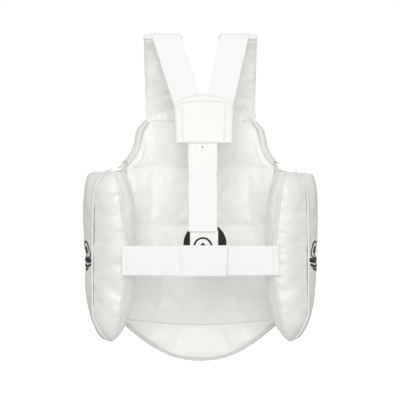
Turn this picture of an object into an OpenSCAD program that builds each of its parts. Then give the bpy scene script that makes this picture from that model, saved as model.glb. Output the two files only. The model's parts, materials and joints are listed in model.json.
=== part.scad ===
/* [Torso space] */
// Width of the torso space at the waist
torso_w = 298; // [264:1:360]
// Depth from the torso axis to the inside of the front panel
torso_d = 120; // [100:1:144]
// Squareness of the torso plan, 2 is an ellipse
torso_n = 2.6; // [2.2:0.1:3.2]
// Half width of the front panel on its inside, at the side seams
seam_x = 129; // [108:1:134]

/* [Front panel] */
// Thickness of the quilted front panel with its covers
panel_t = 25; // [20:1:30]
// Height of the shoulder seam above the torso axis origin
chest_top = 147; // [125:1:176]
// Height of the bottom of the neck scoop
neck_low = 113; // [100:1:120]
// Half width of the neck opening
neck_half = 31; // [26:1:37]
// Height where the armhole meets the side seam
armhole_low = 66; // [61:1:86]
// Height of the upper sewn channel
channel_high = 59; // [45:1:66]
// Height of the middle sewn channel
channel_mid = -46; // [-60:1:-30]
// Height of the apron seam at the centre
apron_seam = -230; // [-260:1:-200]
// Rise of the apron seam from the centre to the side
apron_rise = 14; // [8:1:16]
// Drop of the apron below its seam at the sides
apron_drop = 82; // [66:1:98]
// Gap that the stitching leaves between two foam blocks
channel_gap = 3; // [2:0.5:4]
// Thickness of the vinyl covers
skin_t = 1.5; // [1:0.1:1.8]
// Depth of the edge binding
binding_t = 2; // [1.6:0.1:2.4]

/* [Side wings] */
// Furthest reach of a wing from the centre line
wing_reach = 203; // [195:1:243]
// Nearest point of a wing's inner bulge to the centre line
wing_inner = 115; // [108:1:120]
// Distance of the rear gusset behind the torso axis
wing_back = 80; // [67:1:88]
// Distance of the inner piping from the centre line
gusset_in = 130; // [126:1:134]
// Width of the rear gusset between its two pipings
gusset_w = 50; // [42:1:56]
// Height of the top of a wing
wing_top = 49; // [40:1:58]
// Height of the bottom tip of a wing
wing_low = -241; // [-280:1:-238]
// Radius of the piping
piping_r = 2.6; // [2.2:0.1:2.8]
// Width and height of the side emblem print
emblem_size = 56; // [46:1:60]
// Height of the centre of the side emblem
emblem_z = -97; // [-110:1:-80]

/* [Shoulder yokes] */
// Width of a shoulder yoke
yoke_w = 70; // [58:1:76]
// Thickness of the padded yoke
yoke_t = 9; // [7:0.5:11]
// Height of the hem roll at the top of a yoke
yoke_top = 285; // [260:1:320]
// Distance of the hem roll in front of the torso axis
yoke_lean = 14; // [8:1:30]
// Radius of the hem roll
hem_r = 5; // [4:0.5:6]

/* [Harness] */
// Width of the elastic straps
strap_w = 50; // [42:1:54]
// Thickness of the elastic
strap_t = 1.8; // [1.4:0.1:2]
// Distance that a shoulder strap's top sits inwards of the middle of its yoke
strap_in = 6; // [0:1:8]
// Sideways place of the harness plate, which hangs a little off centre
plate_x = 6; // [0:1:10]
// Width of the plate at its upper corners
plate_w = 103; // [90:1:120]
// Width of the plate at its bottom edge
plate_low_w = 96; // [84:1:112]
// Length along the straps to the top of the plate's arch
plate_high = 109; // [98:1:122]
// Length along the straps to the bottom edge of the plate
plate_low = 199; // [180:1:216]
// Rise of the plate's arched top
plate_arch = 17; // [10:1:22]
// Height of the lower hem of the back strap
hem_z = -52; // [-56:1:-46]
// Length of the vinyl anchor of the back strap
anchor_h = 51; // [42:1:60]

/* [Waist belt] */
// Width of the waist belt
belt_w = 50; // [42:1:54]
// Height of the middle of the waist belt
belt_z = -101; // [-106:1:-98]
// Distance of the belt's outer face behind the rear gussets
belt_gap = 7; // [6:1:10]
// Length of the closure flap
flap_w = 80; // [66:1:90]
// Place of the sewn edge of the flap, left of the centre line
flap_x = 36; // [30:1:42]
// Thickness of the hook and loop pads
pad_t = 1.2; // [1:0.1:1.4]
// Radius of the round backing patch
disc_r = 36; // [30:1:38]

/* [Hidden] */

// Clearance between two bodies that a joint or a closure separates
body_gap = 0.4;
// Clearance of the piping from the covers
piping_gap = 0.3;
// Air left between the hook pad and the loop pad
closure_gap = 1.2;
// Thickness of a printed mark
print_t = 0.4;
// Height and half width that the cutting prisms reach
far = 400;

white = "#f1f1ee";
soft_white = "#f7f7f5";
foam_grey = "#d9d9d4";
black = "#2a2a2a";

// ---- plane geometry ----

// Unit normal that points out of a counter-clockwise outline, on the edge from a to b
function edge_normal(a, b) = [b[1] - a[1], a[0] - b[0]] / norm(b - a);

// Corner b moved inwards by d, square to both of its edges
function inset_corner(a, b, c, d) =
    let (n1 = edge_normal(a, b), n2 = edge_normal(b, c))
    b - d * (n1 + n2) / (1 + n1 * n2);

// Closed counter-clockwise outline moved inwards by d
function inset(path, d) =
    let (n = len(path))
    [for (i = [0 : n - 1]) inset_corner(path[(i + n - 1) % n], path[i], path[(i + 1) % n], d)];

// Point at share t between p[i] and p[i + 1] on a smooth curve through all of p
function curve_point(p, i, t) =
    let (
        a = p[max(i - 1, 0)],
        b = p[i],
        c = p[i + 1],
        d = p[min(i + 2, len(p) - 1)]
    )
    0.5 * (2 * b + (c - a) * t + (2 * a - 5 * b + 4 * c - d) * t * t
        + (3 * b - a - 3 * c + d) * t * t * t);

// Open stretch of a counter-clockwise outline moved inwards by d
function inset_open(path, d) =
    let (n = len(path), last = n - 1)
    concat(
        [path[0] - d * edge_normal(path[0], path[1])],
        [for (i = [1 : n - 2]) inset_corner(path[i - 1], path[i], path[i + 1], d)],
        [path[last] - d * edge_normal(path[last - 1], path[last])]
    );

function curve(p, steps) = concat(
    [for (i = [0 : len(p) - 2], k = [0 : steps - 1]) curve_point(p, i, k / steps)],
    [p[len(p) - 1]]
);

function arc(centre, r, from, to, steps) =
    [for (k = [0 : steps]) let (a = from + (to - from) * k / steps) centre + r * [cos(a), sin(a)]];

function reverse(p) = [for (i = [len(p) - 1 : -1 : 0]) p[i]];
function mirrored(p) = [for (i = [len(p) - 1 : -1 : 0]) [-p[i][0], p[i][1]]];
function blend(a, b, share) = a + (b - a) * min(max(share, 0), 1);

// Prism of an outline drawn in X and Z, between two Y planes
module front_prism(outline, y_low = -far, y_high = far) {
    translate([0, y_high, 0])
        rotate([90, 0, 0])
            linear_extrude(y_high - y_low)
                polygon(outline);
}

// Prism of an outline drawn in Y and Z, between two X planes
module side_prism(outline, x_low = -far, x_high = far) {
    translate([x_low, 0, 0])
        rotate([90, 0, 90])
            linear_extrude(x_high - x_low)
                polygon(outline);
}

// Prism of an outline drawn in X and Y, between two heights
module plan_prism(outline, z_low = -far, z_high = far) {
    translate([0, 0, z_low])
        linear_extrude(z_high - z_low)
            polygon(outline);
}

// Round cord swept along a route that runs mostly in a plane square to X
module tube(route, r, sides = 8) {
    n = len(route);
    points = [
        for (i = [0 : n - 1])
            let (
                t = route[min(i + 1, n - 1)] - route[max(i - 1, 0)],
                v = cross(t, [1, 0, 0]) / norm(cross(t, [1, 0, 0])),
                u = cross(v, t) / norm(t)
            )
            for (k = [0 : sides - 1])
                route[i] + r * (cos(360 * k / sides) * u + sin(360 * k / sides) * v)
    ];
    walls = [
        for (i = [0 : n - 2], k = [0 : sides - 1])
            let (m = (k + 1) % sides)
            [i * sides + k, i * sides + m, (i + 1) * sides + m, (i + 1) * sides + k]
    ];
    caps = [
        [for (k = [sides - 1 : -1 : 0]) k],
        [for (k = [0 : sides - 1]) (n - 1) * sides + k]
    ];
    polyhedron(points, concat(walls, caps));
}

// ---- torso plan ----

torso_a = torso_w / 2;
seam_turn = acos(pow(seam_x / torso_a, torso_n / 2));
plan_steps = 28;

// Point on the torso plan at turn t, moved out by d
function on_torso(t, d) =
    let (
        c = cos(t),
        x = torso_a * sign(c) * pow(abs(c), 2 / torso_n),
        y = torso_d * pow(sin(t), 2 / torso_n),
        gx = sign(c) * pow(abs(x) / torso_a, torso_n - 1) / torso_a,
        gy = pow(y / torso_d, torso_n - 1) / torso_d
    )
    [x, y] + d * [gx, gy] / norm([gx, gy]);

// Torso plan from side seam to side seam, both ends cut back by an angle
function torso_line(d, cut = 0) =
    let (from = seam_turn + cut)
    [for (k = [0 : plan_steps]) on_torso(from + (180 - 2 * from) * k / plan_steps, d)];

// Band of the front panel between two depths from its inside
module panel_band(d_low, d_high, z_low, z_high, cut = 0) {
    plan_prism(concat(torso_line(d_high, cut), reverse(torso_line(d_low, cut))), z_low, z_high);
}

// ---- front panel outlines, in X and Z ----

function seam_height(x, gap = 0) = apron_seam + gap + apron_rise * pow(x / seam_x, 2);
panel_side = seam_x + panel_t + 10;
seam_steps = 12;
seam_curve = [
    for (k = [-seam_steps : seam_steps])
        [panel_side * k / seam_steps, seam_height(panel_side * k / seam_steps, body_gap / 2)]
];
yoke_out = neck_half + yoke_w;
armhole_curve = curve([
    [panel_side, armhole_low - 2],
    [seam_x + 2, armhole_low],
    [seam_x - 6, armhole_low + 24],
    [blend(yoke_out, seam_x, 0.42), chest_top - 19],
    [yoke_out + 2, chest_top]
], 4);
neck_curve = curve([
    [neck_half + 9, chest_top],
    [neck_half, blend(neck_low, chest_top, 0.45)],
    [neck_half * 0.6, neck_low + 4],
    [0, neck_low]
], 4);
panel_half = concat(armhole_curve, neck_curve);
panel_edge = concat(panel_half, [for (i = [1 : len(panel_half) - 1]) mirrored(panel_half)[i]]);
panel_outline = concat(seam_curve, panel_edge);
panel_inner_outline = concat(seam_curve, inset_open(panel_edge, binding_t));
binding_start = armhole_low - 12;

apron_steps = 16;
apron_half = seam_x + 6;
apron_side = 6;
// Angle that the apron's ends are cut back by, so that they swing clear of the wings
apron_cut = 1.2;
apron_edge = [
    for (k = [-apron_steps : apron_steps])
        let (u = k / apron_steps)
        [
            apron_half * u,
            seam_height(seam_x) - apron_side - (apron_drop - apron_side) * (1 - pow(abs(u), 2.3))
        ]
];
apron_top_edge = [
    for (k = [seam_steps : -1 : -seam_steps])
        let (x = apron_half * k / seam_steps)
        [x, seam_height(x, -body_gap / 2)]
];
apron_outline = concat(apron_edge, apron_top_edge);
apron_inner_edge = inset_open(apron_edge, binding_t);
apron_inside = concat(
    apron_inner_edge,
    [for (p = reverse([apron_inner_edge[0], apron_inner_edge[2 * apron_steps]])) [p[0], 0]]
);
apron_low = seam_height(seam_x) - apron_drop - 5;

module front_cover() {
    color(white)
        intersection() {
            panel_band(panel_t - skin_t, panel_t, apron_seam - 5, chest_top + 5);
            front_prism(panel_inner_outline);
        }
}

module lining() {
    color(white)
        intersection() {
            panel_band(0, skin_t, apron_seam - 5, chest_top + 5);
            front_prism(panel_inner_outline);
        }
}

// Foam block between two sewn channels
module channel_foam(z_low, z_high) {
    color(foam_grey)
        intersection() {
            panel_band(skin_t, panel_t - skin_t, z_low, z_high);
            front_prism(panel_inner_outline);
        }
}

module chest_foam() channel_foam(channel_high + channel_gap / 2, chest_top + 5);
module middle_foam() channel_foam(channel_mid + channel_gap / 2, channel_high - channel_gap / 2);
module lower_foam() channel_foam(apron_seam - 5, channel_mid - channel_gap / 2);

// Edge binding of the front panel, in one range of X
module panel_binding(x_low, x_high) {
    color(white)
        difference() {
            intersection() {
                panel_band(0, panel_t, binding_start, chest_top + 5);
                front_prism(panel_outline);
                translate([x_low, 0, binding_start])
                    cube([x_high - x_low, far, far]);
            }
            front_prism(panel_inner_outline);
        }
}

module armhole_binding_right() panel_binding(neck_half + 12, far);
module armhole_binding_left() mirror([1, 0, 0]) armhole_binding_right();
module neck_binding() panel_binding(-neck_half - 12, neck_half + 12);

// ---- apron ----

module apron_layer(d_low, d_high, shade) {
    color(shade)
        intersection() {
            panel_band(d_low, d_high, apron_low, apron_seam + 30, apron_cut);
            front_prism(apron_outline);
            front_prism(apron_inside);
        }
}

module apron_cover() apron_layer(panel_t - skin_t, panel_t, white);
module apron_foam() apron_layer(skin_t, panel_t - skin_t, foam_grey);
module apron_lining() apron_layer(0, skin_t, white);
module apron_binding() {
    color(white)
        difference() {
            intersection() {
                panel_band(0, panel_t, apron_low, apron_seam + 30, apron_cut);
                front_prism(apron_outline);
            }
            front_prism(apron_inside);
        }
}

// ---- side wings, drawn on the right and mirrored to the left ----

seam_inner = on_torso(seam_turn, 0);
seam_outer = on_torso(seam_turn, panel_t);
seam_across = (seam_outer - seam_inner) / panel_t;
seam_along = [seam_across[1], -seam_across[0]];
wing_seam_inner = seam_inner + body_gap * seam_along;
wing_seam_outer = seam_outer + body_gap * seam_along;
gusset_out = gusset_in + gusset_w;

wing_outer_line = curve([
    [gusset_out, -wing_back],
    [wing_reach - 5, -0.6 * wing_back],
    [wing_reach, -0.12 * wing_back],
    blend([wing_reach - 6, 0], wing_seam_outer, 0.35),
    blend([wing_reach - 4, 0], wing_seam_outer, 0.68) + [2, 3],
    wing_seam_outer
], 4);
wing_inner_line = curve([
    wing_seam_inner,
    blend(wing_seam_inner, [wing_inner, -0.35 * wing_back], 0.4) + [2, 0],
    [wing_inner, -0.35 * wing_back],
    [wing_inner + 3, -0.75 * wing_back],
    [gusset_in, -wing_back]
], 4);
wing_plan = concat(wing_outer_line, wing_inner_line);

top_r = 24;
rear_edge = concat(
    [[10, wing_top + 3], [-30, wing_top]],
    arc([top_r - wing_back, wing_top - top_r], top_r, 90, 180, 5),
    [[-wing_back, 0.5 * (wing_top + wing_low)]],
    curve([
        [-wing_back, wing_low + 58],
        [3 - wing_back, wing_low + 28],
        [12 - wing_back, wing_low + 10],
        [26 - wing_back, wing_low]
    ], 3)
);
wing_side = concat(
    rear_edge,
    [
        [0, wing_low + 1],
        [torso_d, seam_height(seam_x)],
        [torso_d, armhole_low + 6]
    ],
    curve([
        [wing_seam_inner[1] + 2, armhole_low + 2],
        [54, armhole_low - 6],
        [32, wing_top + 7]
    ], 3)
);
wing_rear = concat(
    [[wing_inner - 12, wing_low + 90]],
    curve([
        [wing_inner + 1, wing_low + 66],
        [wing_inner + 8, wing_low + 38],
        [wing_inner + 24, wing_low + 8],
        [wing_inner + 40, wing_low - 2],
        [gusset_out - 12, wing_low + 3],
        [wing_reach - 18, wing_low + 22],
        [wing_reach - 4, wing_low + 52],
        [wing_reach + 3, wing_low + 90]
    ], 3),
    [[wing_reach + 3, wing_top - 36]],
    curve([
        [wing_reach - 3, wing_top - 20],
        [wing_reach - 13, wing_top - 10],
        [gusset_out - 4, wing_top - 2],
        [gusset_out - 20, armhole_low + 12]
    ], 3),
    [[wing_inner - 12, armhole_low + 12]]
);

// The whole cushion of a wing, moved inwards by d
module wing_block(d = 0) {
    intersection() {
        plan_prism(inset(wing_plan, d), wing_low - 5, armhole_low + 20);
        side_prism(inset(wing_side, d), 0, far);
        front_prism(inset(wing_rear, d));
    }
}

seam_third = (wing_seam_outer - wing_seam_inner) / 3;
outer_seam_line = [
    wing_seam_outer - seam_third + 20 * seam_across - 20 * seam_along,
    wing_seam_outer - seam_third,
    [gusset_out - 12, 30],
    [gusset_out - 4, -30],
    [gusset_out, -wing_back],
    [gusset_out, -far]
];
inner_seam_line = [
    wing_seam_inner + seam_third - 20 * seam_along,
    wing_seam_inner + seam_third,
    [gusset_in + 10, 30],
    [gusset_in + 6, -30],
    [gusset_in, -wing_back],
    [gusset_in, -far]
];

module wing_shell() {
    difference() {
        wing_block();
        wing_block(skin_t);
    }
}

module outer_side() plan_prism(concat([[far, far]], outer_seam_line, [[far, -far]]));
module inner_side() plan_prism(concat([[0, far]], inner_seam_line, [[0, -far]]));

module wing_outer_cover() {
    color(white)
        intersection() {
            wing_shell();
            outer_side();
        }
}

module wing_inner_cover() {
    color(white)
        intersection() {
            wing_shell();
            inner_side();
        }
}

module wing_gusset() {
    color(white)
        difference() {
            wing_shell();
            outer_side();
            inner_side();
        }
}

module wing_foam() color(foam_grey) wing_block(skin_t);

// Route of a piping along the rear edge, from the top of the wing to its tip
piping_edge = inset(wing_side, -piping_r - piping_gap);
function piping_x(z, x_top, x_mid, x_low) =
    z > 0
        ? blend(x_mid, x_top, z / wing_top)
        : blend(x_mid, x_low, pow(max(wing_low + 90 - z, 0) / 90, 2));
function piping_route(x_top, x_mid, x_low) = [
    for (i = [1 : len(rear_edge) - 1])
        let (p = piping_edge[i])
        [piping_x(p[1], x_top, x_mid, x_low), p[0], p[1]]
];

module wing_outer_piping() {
    color(white)
        tube(piping_route(gusset_out - 10, gusset_out + 1, gusset_in + 30), piping_r);
}

module wing_inner_piping() {
    color(white)
        tube(piping_route(gusset_in + 12, gusset_in, gusset_in + 19), piping_r);
}

// Printed emblem, a thin film on the outer cover beside the rear piping
module side_emblem() {
    color(black)
        difference() {
            intersection() {
                plan_prism(inset(wing_plan, -print_t), emblem_z - emblem_size / 2, emblem_z + emblem_size / 2);
                translate([gusset_out - 10, 6 - wing_back, -far])
                    cube([far, emblem_size, 2 * far]);
            }
            plan_prism(wing_plan);
        }
}

// ---- shoulder yokes ----

yoke_seat = torso_d * pow(1 - pow(yoke_out / torso_a, torso_n), 1 / torso_n);
yoke_base = [yoke_seat + yoke_t / 2, chest_top + body_gap];
hem_centre = [yoke_lean, yoke_top];
yoke_knee = [yoke_base[0], blend(chest_top, yoke_top, 0.58)];
yoke_steps = 12;

// Side line of a yoke at depth d from its middle, positive to the outside
function yoke_line(d) = [
    for (k = [0 : yoke_steps])
        let (
            u = k / yoke_steps,
            p = pow(1 - u, 2) * yoke_base + 2 * u * (1 - u) * yoke_knee + u * u * hem_centre,
            t = (1 - u) * (yoke_knee - yoke_base) + u * (hem_centre - yoke_knee)
        )
        p + d * [t[1], -t[0]] / norm(t)
];

module hem_roll() {
    translate([neck_half, hem_centre[0], hem_centre[1]])
        rotate([0, 90, 0])
            cylinder(h = yoke_w, r = hem_r, $fn = 48);
}

module yoke_layer(d_low, d_high, shade) {
    color(shade)
        difference() {
            side_prism(concat(yoke_line(d_high), reverse(yoke_line(d_low))), neck_half, neck_half + yoke_w);
            hem_roll();
        }
}

module yoke_cover() yoke_layer(yoke_t / 2 - skin_t, yoke_t / 2, white);
module yoke_foam() yoke_layer(skin_t - yoke_t / 2, yoke_t / 2 - skin_t, foam_grey);
module yoke_lining() yoke_layer(-yoke_t / 2, skin_t - yoke_t / 2, white);
module yoke_hem() color(white) hem_roll();

// ---- harness, drawn flat in X and -Z and tilted about its top edge ----

strap_x = neck_half + yoke_w / 2 - strap_in;
harness_y = yoke_lean - hem_r - 2;
harness_z = yoke_top + 2.5;
harness_tilt = 15.5;
arch_low = plate_high + plate_arch;
strap_end = plate_high + 31;
plate_end_y = harness_y - plate_low * sin(harness_tilt);
plate_end_z = harness_z - plate_low * cos(harness_tilt);

module on_harness() {
    translate([0, harness_y, harness_z])
        rotate([-harness_tilt, 0, 0])
            children();
}

// Shoulder strap on one side of the plate's centre, side is 1 or -1
module shoulder_strap(side) {
    lean = side * (strap_x - strap_w / 2 - 7) - plate_x;
    half = strap_w / 2 / cos(atan(lean / strap_end));
    top_x = side * strap_x;
    end_x = plate_x + side * (strap_w / 2 + 1) - side * (strap_end - arch_low) * 0.2;
    color(soft_white)
        on_harness()
            difference() {
                front_prism([
                    [top_x - half, 0],
                    [end_x - half, -strap_end],
                    [end_x + half, -strap_end],
                    [top_x + half, 0]
                ], 0, strap_t);
                translate([side > 0 ? plate_x - 80 + 0.1 : plate_x - 0.1, -1, -strap_end - 1])
                    cube([80, strap_t + 2, strap_end + 2]);
            }
}

// Plate outline: straight sides, flat bottom edge, arched top
plate_outline = concat(
    [
        [plate_x - plate_low_w / 2, -plate_low],
        [plate_x + plate_low_w / 2, -plate_low]
    ],
    [
        for (k = [8 : -1 : -8])
            [plate_x + plate_w / 2 * k / 8, -plate_high - plate_arch * pow(k / 8, 2)]
    ]
);

module plate_cover() color(white) on_harness() front_prism(plate_outline, -skin_t, 0);
module plate_backing() color(white) on_harness() front_prism(plate_outline, strap_t, strap_t + skin_t);
module plate_stiffener() {
    color(foam_grey)
        on_harness()
            intersection() {
                front_prism(plate_outline, 0, strap_t);
                translate([-far, -1, -plate_low - 1])
                    cube([2 * far, strap_t + 2, plate_low + 1 - strap_end]);
            }
}

// ---- back strap, drawn flat and tilted about the bottom edge of the plate ----

belt_back = wing_back + belt_gap;
strap_over = 5.5;
back_tilt = atan((belt_back + strap_over + plate_end_y) / (plate_end_z - hem_z));
back_len = (plate_end_z - hem_z) / cos(back_tilt);
label_size = [14, 10];

module on_back_strap() {
    translate([plate_x - 2, plate_end_y, plate_end_z])
        rotate([-back_tilt, 0, 0])
            children();
}

module strap_slab(from, to, thick) {
    on_back_strap()
        translate([-strap_w / 2, 0, -to])
            cube([strap_w, thick, to - from]);
}

module back_strap_anchor() color(white) strap_slab(body_gap, anchor_h, strap_t + 0.4);
module back_strap_elastic() color(soft_white) strap_slab(anchor_h, back_len, strap_t);
module size_label() {
    color(soft_white)
        on_back_strap()
            translate([-label_size[0] / 2, -0.6, -2 - label_size[1]])
                cube([label_size[0], 0.6, label_size[1]]);
}

// ---- waist belt, layered from the inside to the outside ----

belt_end = gusset_in - 4.5;
belt_inner = strap_t - belt_back;
loop_face = -belt_back - pad_t;
hook_face = loop_face - closure_gap;
flap_inner = hook_face - pad_t;
flap_t = 2.2;
free_end = 28;
tab_t = 1.2;
tab_w = strap_w - 3;
tab_top = hem_z + 1.5;
tab_low = belt_z - belt_w / 2 + 4;
ring_r = 16;
ring_w = 3;
belt_top = belt_z + belt_w / 2;
mark_centre = [plate_x - 2, belt_top - 2];
disc_centre = [plate_x + 1.5, belt_top + 2.5];

module belt_slab(x_low, x_high, y_low, y_high, high = belt_w) {
    translate([x_low, y_low, belt_z - high / 2])
        cube([x_high - x_low, y_high - y_low, high]);
}

module belt_elastic_right() color(soft_white) belt_slab(-free_end, belt_end, -belt_back, belt_inner);
module belt_elastic_left() {
    color(soft_white)
        belt_slab(-belt_end, -flap_x - body_gap, flap_inner - strap_t, flap_inner);
}
module closure_flap() {
    color(soft_white)
        belt_slab(-flap_x + body_gap, flap_w - flap_x, flap_inner - flap_t, flap_inner);
}
module hook_pad() {
    color(soft_white)
        belt_slab(6 - flap_x, flap_w - flap_x - 5, flap_inner, hook_face, belt_w - 6);
}
module loop_pad() {
    color(soft_white)
        belt_slab(2 - free_end, flap_w - flap_x - 3, loop_face, -belt_back, belt_w - 6);
}

// Printed mark let into the face of the tab: a ring round a diamond
module mark(depth) {
    translate([mark_centre[0], belt_inner + depth, mark_centre[1]])
        rotate([90, 0, 0]) {
            difference() {
                cylinder(h = depth, r = ring_r, $fn = 64);
                translate([0, 0, -1])
                    cylinder(h = depth + 2, r = ring_r - ring_w, $fn = 64);
            }
            rotate([0, 0, 45])
                translate([-5, -5, 0])
                    cube([10, 10, depth]);
        }
}

module strap_tab() {
    color(white)
        difference() {
            translate([plate_x - tab_w / 2, belt_inner, tab_low])
                cube([tab_w, tab_t, tab_top - tab_low]);
            mark(print_t);
        }
}

module ring_mark() color(black) mark(print_t);

module backing_disc() {
    color(black)
        translate([disc_centre[0], belt_inner + 2 * tab_t, disc_centre[1]])
            rotate([90, 0, 0])
                cylinder(h = tab_t, r = disc_r, $fn = 96);
}

front_cover();
chest_foam();
middle_foam();
lower_foam();
lining();
armhole_binding_left();
armhole_binding_right();
neck_binding();
apron_cover();
apron_foam();
apron_lining();
apron_binding();
mirror([1, 0, 0]) wing_outer_cover();  // wing_outer_cover_left
mirror([1, 0, 0]) wing_inner_cover();  // wing_inner_cover_left
mirror([1, 0, 0]) wing_gusset();  // wing_gusset_left
mirror([1, 0, 0]) wing_foam();  // wing_foam_left
mirror([1, 0, 0]) wing_outer_piping();  // wing_outer_piping_left
mirror([1, 0, 0]) wing_inner_piping();  // wing_inner_piping_left
mirror([1, 0, 0]) side_emblem();  // side_emblem_left
wing_outer_cover();  // wing_outer_cover_right
wing_inner_cover();  // wing_inner_cover_right
wing_gusset();  // wing_gusset_right
wing_foam();  // wing_foam_right
wing_outer_piping();  // wing_outer_piping_right
wing_inner_piping();  // wing_inner_piping_right
side_emblem();  // side_emblem_right
mirror([1, 0, 0]) yoke_cover();  // yoke_cover_left
mirror([1, 0, 0]) yoke_foam();  // yoke_foam_left
mirror([1, 0, 0]) yoke_lining();  // yoke_lining_left
mirror([1, 0, 0]) yoke_hem();  // yoke_hem_left
yoke_cover();  // yoke_cover_right
yoke_foam();  // yoke_foam_right
yoke_lining();  // yoke_lining_right
yoke_hem();  // yoke_hem_right
shoulder_strap(-1);  // shoulder_strap_left
shoulder_strap(1);  // shoulder_strap_right
plate_cover();
plate_stiffener();
plate_backing();
back_strap_anchor();
back_strap_elastic();
size_label();
belt_elastic_left();
closure_flap();
hook_pad();
belt_elastic_right();
loop_pad();
strap_tab();
ring_mark();
backing_disc();
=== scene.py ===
import json
import math

import bmesh
import bpy
from mathutils import Matrix, Vector, noise
from mathutils.bvhtree import BVHTree


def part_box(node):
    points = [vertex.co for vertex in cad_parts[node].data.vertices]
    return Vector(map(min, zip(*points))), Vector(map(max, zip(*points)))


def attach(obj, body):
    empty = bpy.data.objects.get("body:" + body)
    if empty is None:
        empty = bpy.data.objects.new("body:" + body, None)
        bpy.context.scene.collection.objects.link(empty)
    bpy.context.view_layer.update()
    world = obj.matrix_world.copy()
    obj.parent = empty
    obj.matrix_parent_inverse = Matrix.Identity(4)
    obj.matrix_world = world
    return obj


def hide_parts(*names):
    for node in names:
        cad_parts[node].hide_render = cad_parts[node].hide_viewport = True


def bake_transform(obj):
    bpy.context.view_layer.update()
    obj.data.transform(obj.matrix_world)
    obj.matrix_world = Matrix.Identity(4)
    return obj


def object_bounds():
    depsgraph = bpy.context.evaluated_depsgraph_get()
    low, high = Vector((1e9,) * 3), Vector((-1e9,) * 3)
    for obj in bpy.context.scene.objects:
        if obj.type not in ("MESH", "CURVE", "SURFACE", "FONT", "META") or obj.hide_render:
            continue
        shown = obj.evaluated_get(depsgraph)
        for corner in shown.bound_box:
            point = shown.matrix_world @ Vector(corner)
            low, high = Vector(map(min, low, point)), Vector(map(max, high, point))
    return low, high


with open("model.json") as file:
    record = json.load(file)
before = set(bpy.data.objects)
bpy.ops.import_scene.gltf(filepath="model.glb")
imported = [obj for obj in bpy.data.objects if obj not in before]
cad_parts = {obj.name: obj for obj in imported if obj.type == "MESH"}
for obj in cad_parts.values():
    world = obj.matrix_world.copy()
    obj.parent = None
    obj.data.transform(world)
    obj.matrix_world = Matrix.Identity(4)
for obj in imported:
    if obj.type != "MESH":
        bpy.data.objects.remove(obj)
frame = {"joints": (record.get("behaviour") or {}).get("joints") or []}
cad_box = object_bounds()

MM = 0.001

# ---- camera: level, two metres behind the belt ----

camera_data = bpy.data.cameras.new("camera")
camera_data.sensor_width = 36
camera_data.lens = 107.97
camera = bpy.data.objects.new("camera", camera_data)
bpy.context.scene.collection.objects.link(camera)
camera.location = (-0.8 * MM, -2.087, 0)
camera.rotation_euler = (math.pi / 2, 0, 0)
bpy.context.scene.camera = camera

# ---- places and sizes from the frame ----

JOINT = {j["name"]: Vector(j["pos_m"]) for j in frame["joints"]}
CHEST_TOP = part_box("neck_binding")[1][2]
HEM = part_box("yoke_hem_right")
NECK_HALF = HEM[0][0]
YOKE_OUT = HEM[1][0]
HEM_Y = (HEM[0][1] + HEM[1][1]) / 2
HEM_Z = (HEM[0][2] + HEM[1][2]) / 2
HEM_R = (HEM[1][2] - HEM[0][2]) / 2
YOKE_SEAM = JOINT["yoke_fold"]
YOKE_T = 9 * MM
YOKE_LONG = 150 * MM

# The front panel follows a squared ellipse in plan, from one side seam to the other
TORSO_A = 149 * MM
TORSO_B = 120 * MM
TORSO_N = 2.6
SEAM_X = 129 * MM
PANEL_T = 25 * MM

# Heights of the sewn channels and of the outline's corners
CHANNEL_HIGH = 59 * MM
CHANNEL_MID = -46 * MM
APRON_SEAM = JOINT["apron_fold"].z
APRON_RISE = 14 * MM
APRON_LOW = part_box("apron_binding")[0][2]
NECK_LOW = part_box("neck_binding")[0][2] + 2 * MM

# Belt and harness
BELT_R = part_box("belt_elastic_right")
BELT_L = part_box("belt_elastic_left")
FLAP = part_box("closure_flap")
BELT_Z = (BELT_R[0][2] + BELT_R[1][2]) / 2
BELT_W = BELT_R[1][2] - BELT_R[0][2]
STRAP_W = BELT_W
WEB_T = 1.6 * MM


# ---- small geometry helpers ----

def smooth(low, high, x):
    """0 below low, 1 above high, and an even S between them."""
    t = min(max((x - low) / (high - low), 0.0), 1.0)
    return t * t * (3 - 2 * t)


def mix(a, b, t):
    return a + (b - a) * t


def along(points, t):
    """Point at share t of a smooth curve through the points, which are floats or Vectors."""
    n = len(points) - 1
    x = min(max(t, 0.0), 1.0) * n
    i = min(int(x), n - 1)
    f = x - i
    a, b, c, d = (points[min(max(i + k, 0), n)] for k in (-1, 0, 1, 2))
    return 0.5 * (2 * b + (c - a) * f + (2 * a - 5 * b + 4 * c - d) * f * f
                  + (3 * b - a - 3 * c + d) * f * f * f)


def table(rows, x):
    """Value at x in a short list of (x, value) rows in rising x, with straight stretches between them."""
    if x <= rows[0][0]:
        return rows[0][1]
    for (x0, v0), (x1, v1) in zip(rows, rows[1:]):
        if x <= x1:
            return mix(v0, v1, (x - x0) / (x1 - x0))
    return rows[-1][1]


def crumple(co, size, seed=0.0):
    """Soft noise from -1 to 1 with lumps about size metres across."""
    return noise.noise(co / size + Vector((seed, 1.7 * seed, -seed)))


# ---- plan of the front panel ----

def plan_raw(turn, depth):
    c, s = math.cos(turn), math.sin(turn)
    x = TORSO_A * math.copysign(abs(c) ** (2 / TORSO_N), c)
    y = TORSO_B * s ** (2 / TORSO_N)
    g = Vector((
        math.copysign((abs(x) / TORSO_A) ** (TORSO_N - 1) / TORSO_A, c),
        (y / TORSO_B) ** (TORSO_N - 1) / TORSO_B,
    )).normalized()
    return Vector((x, y)) + depth * g


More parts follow.
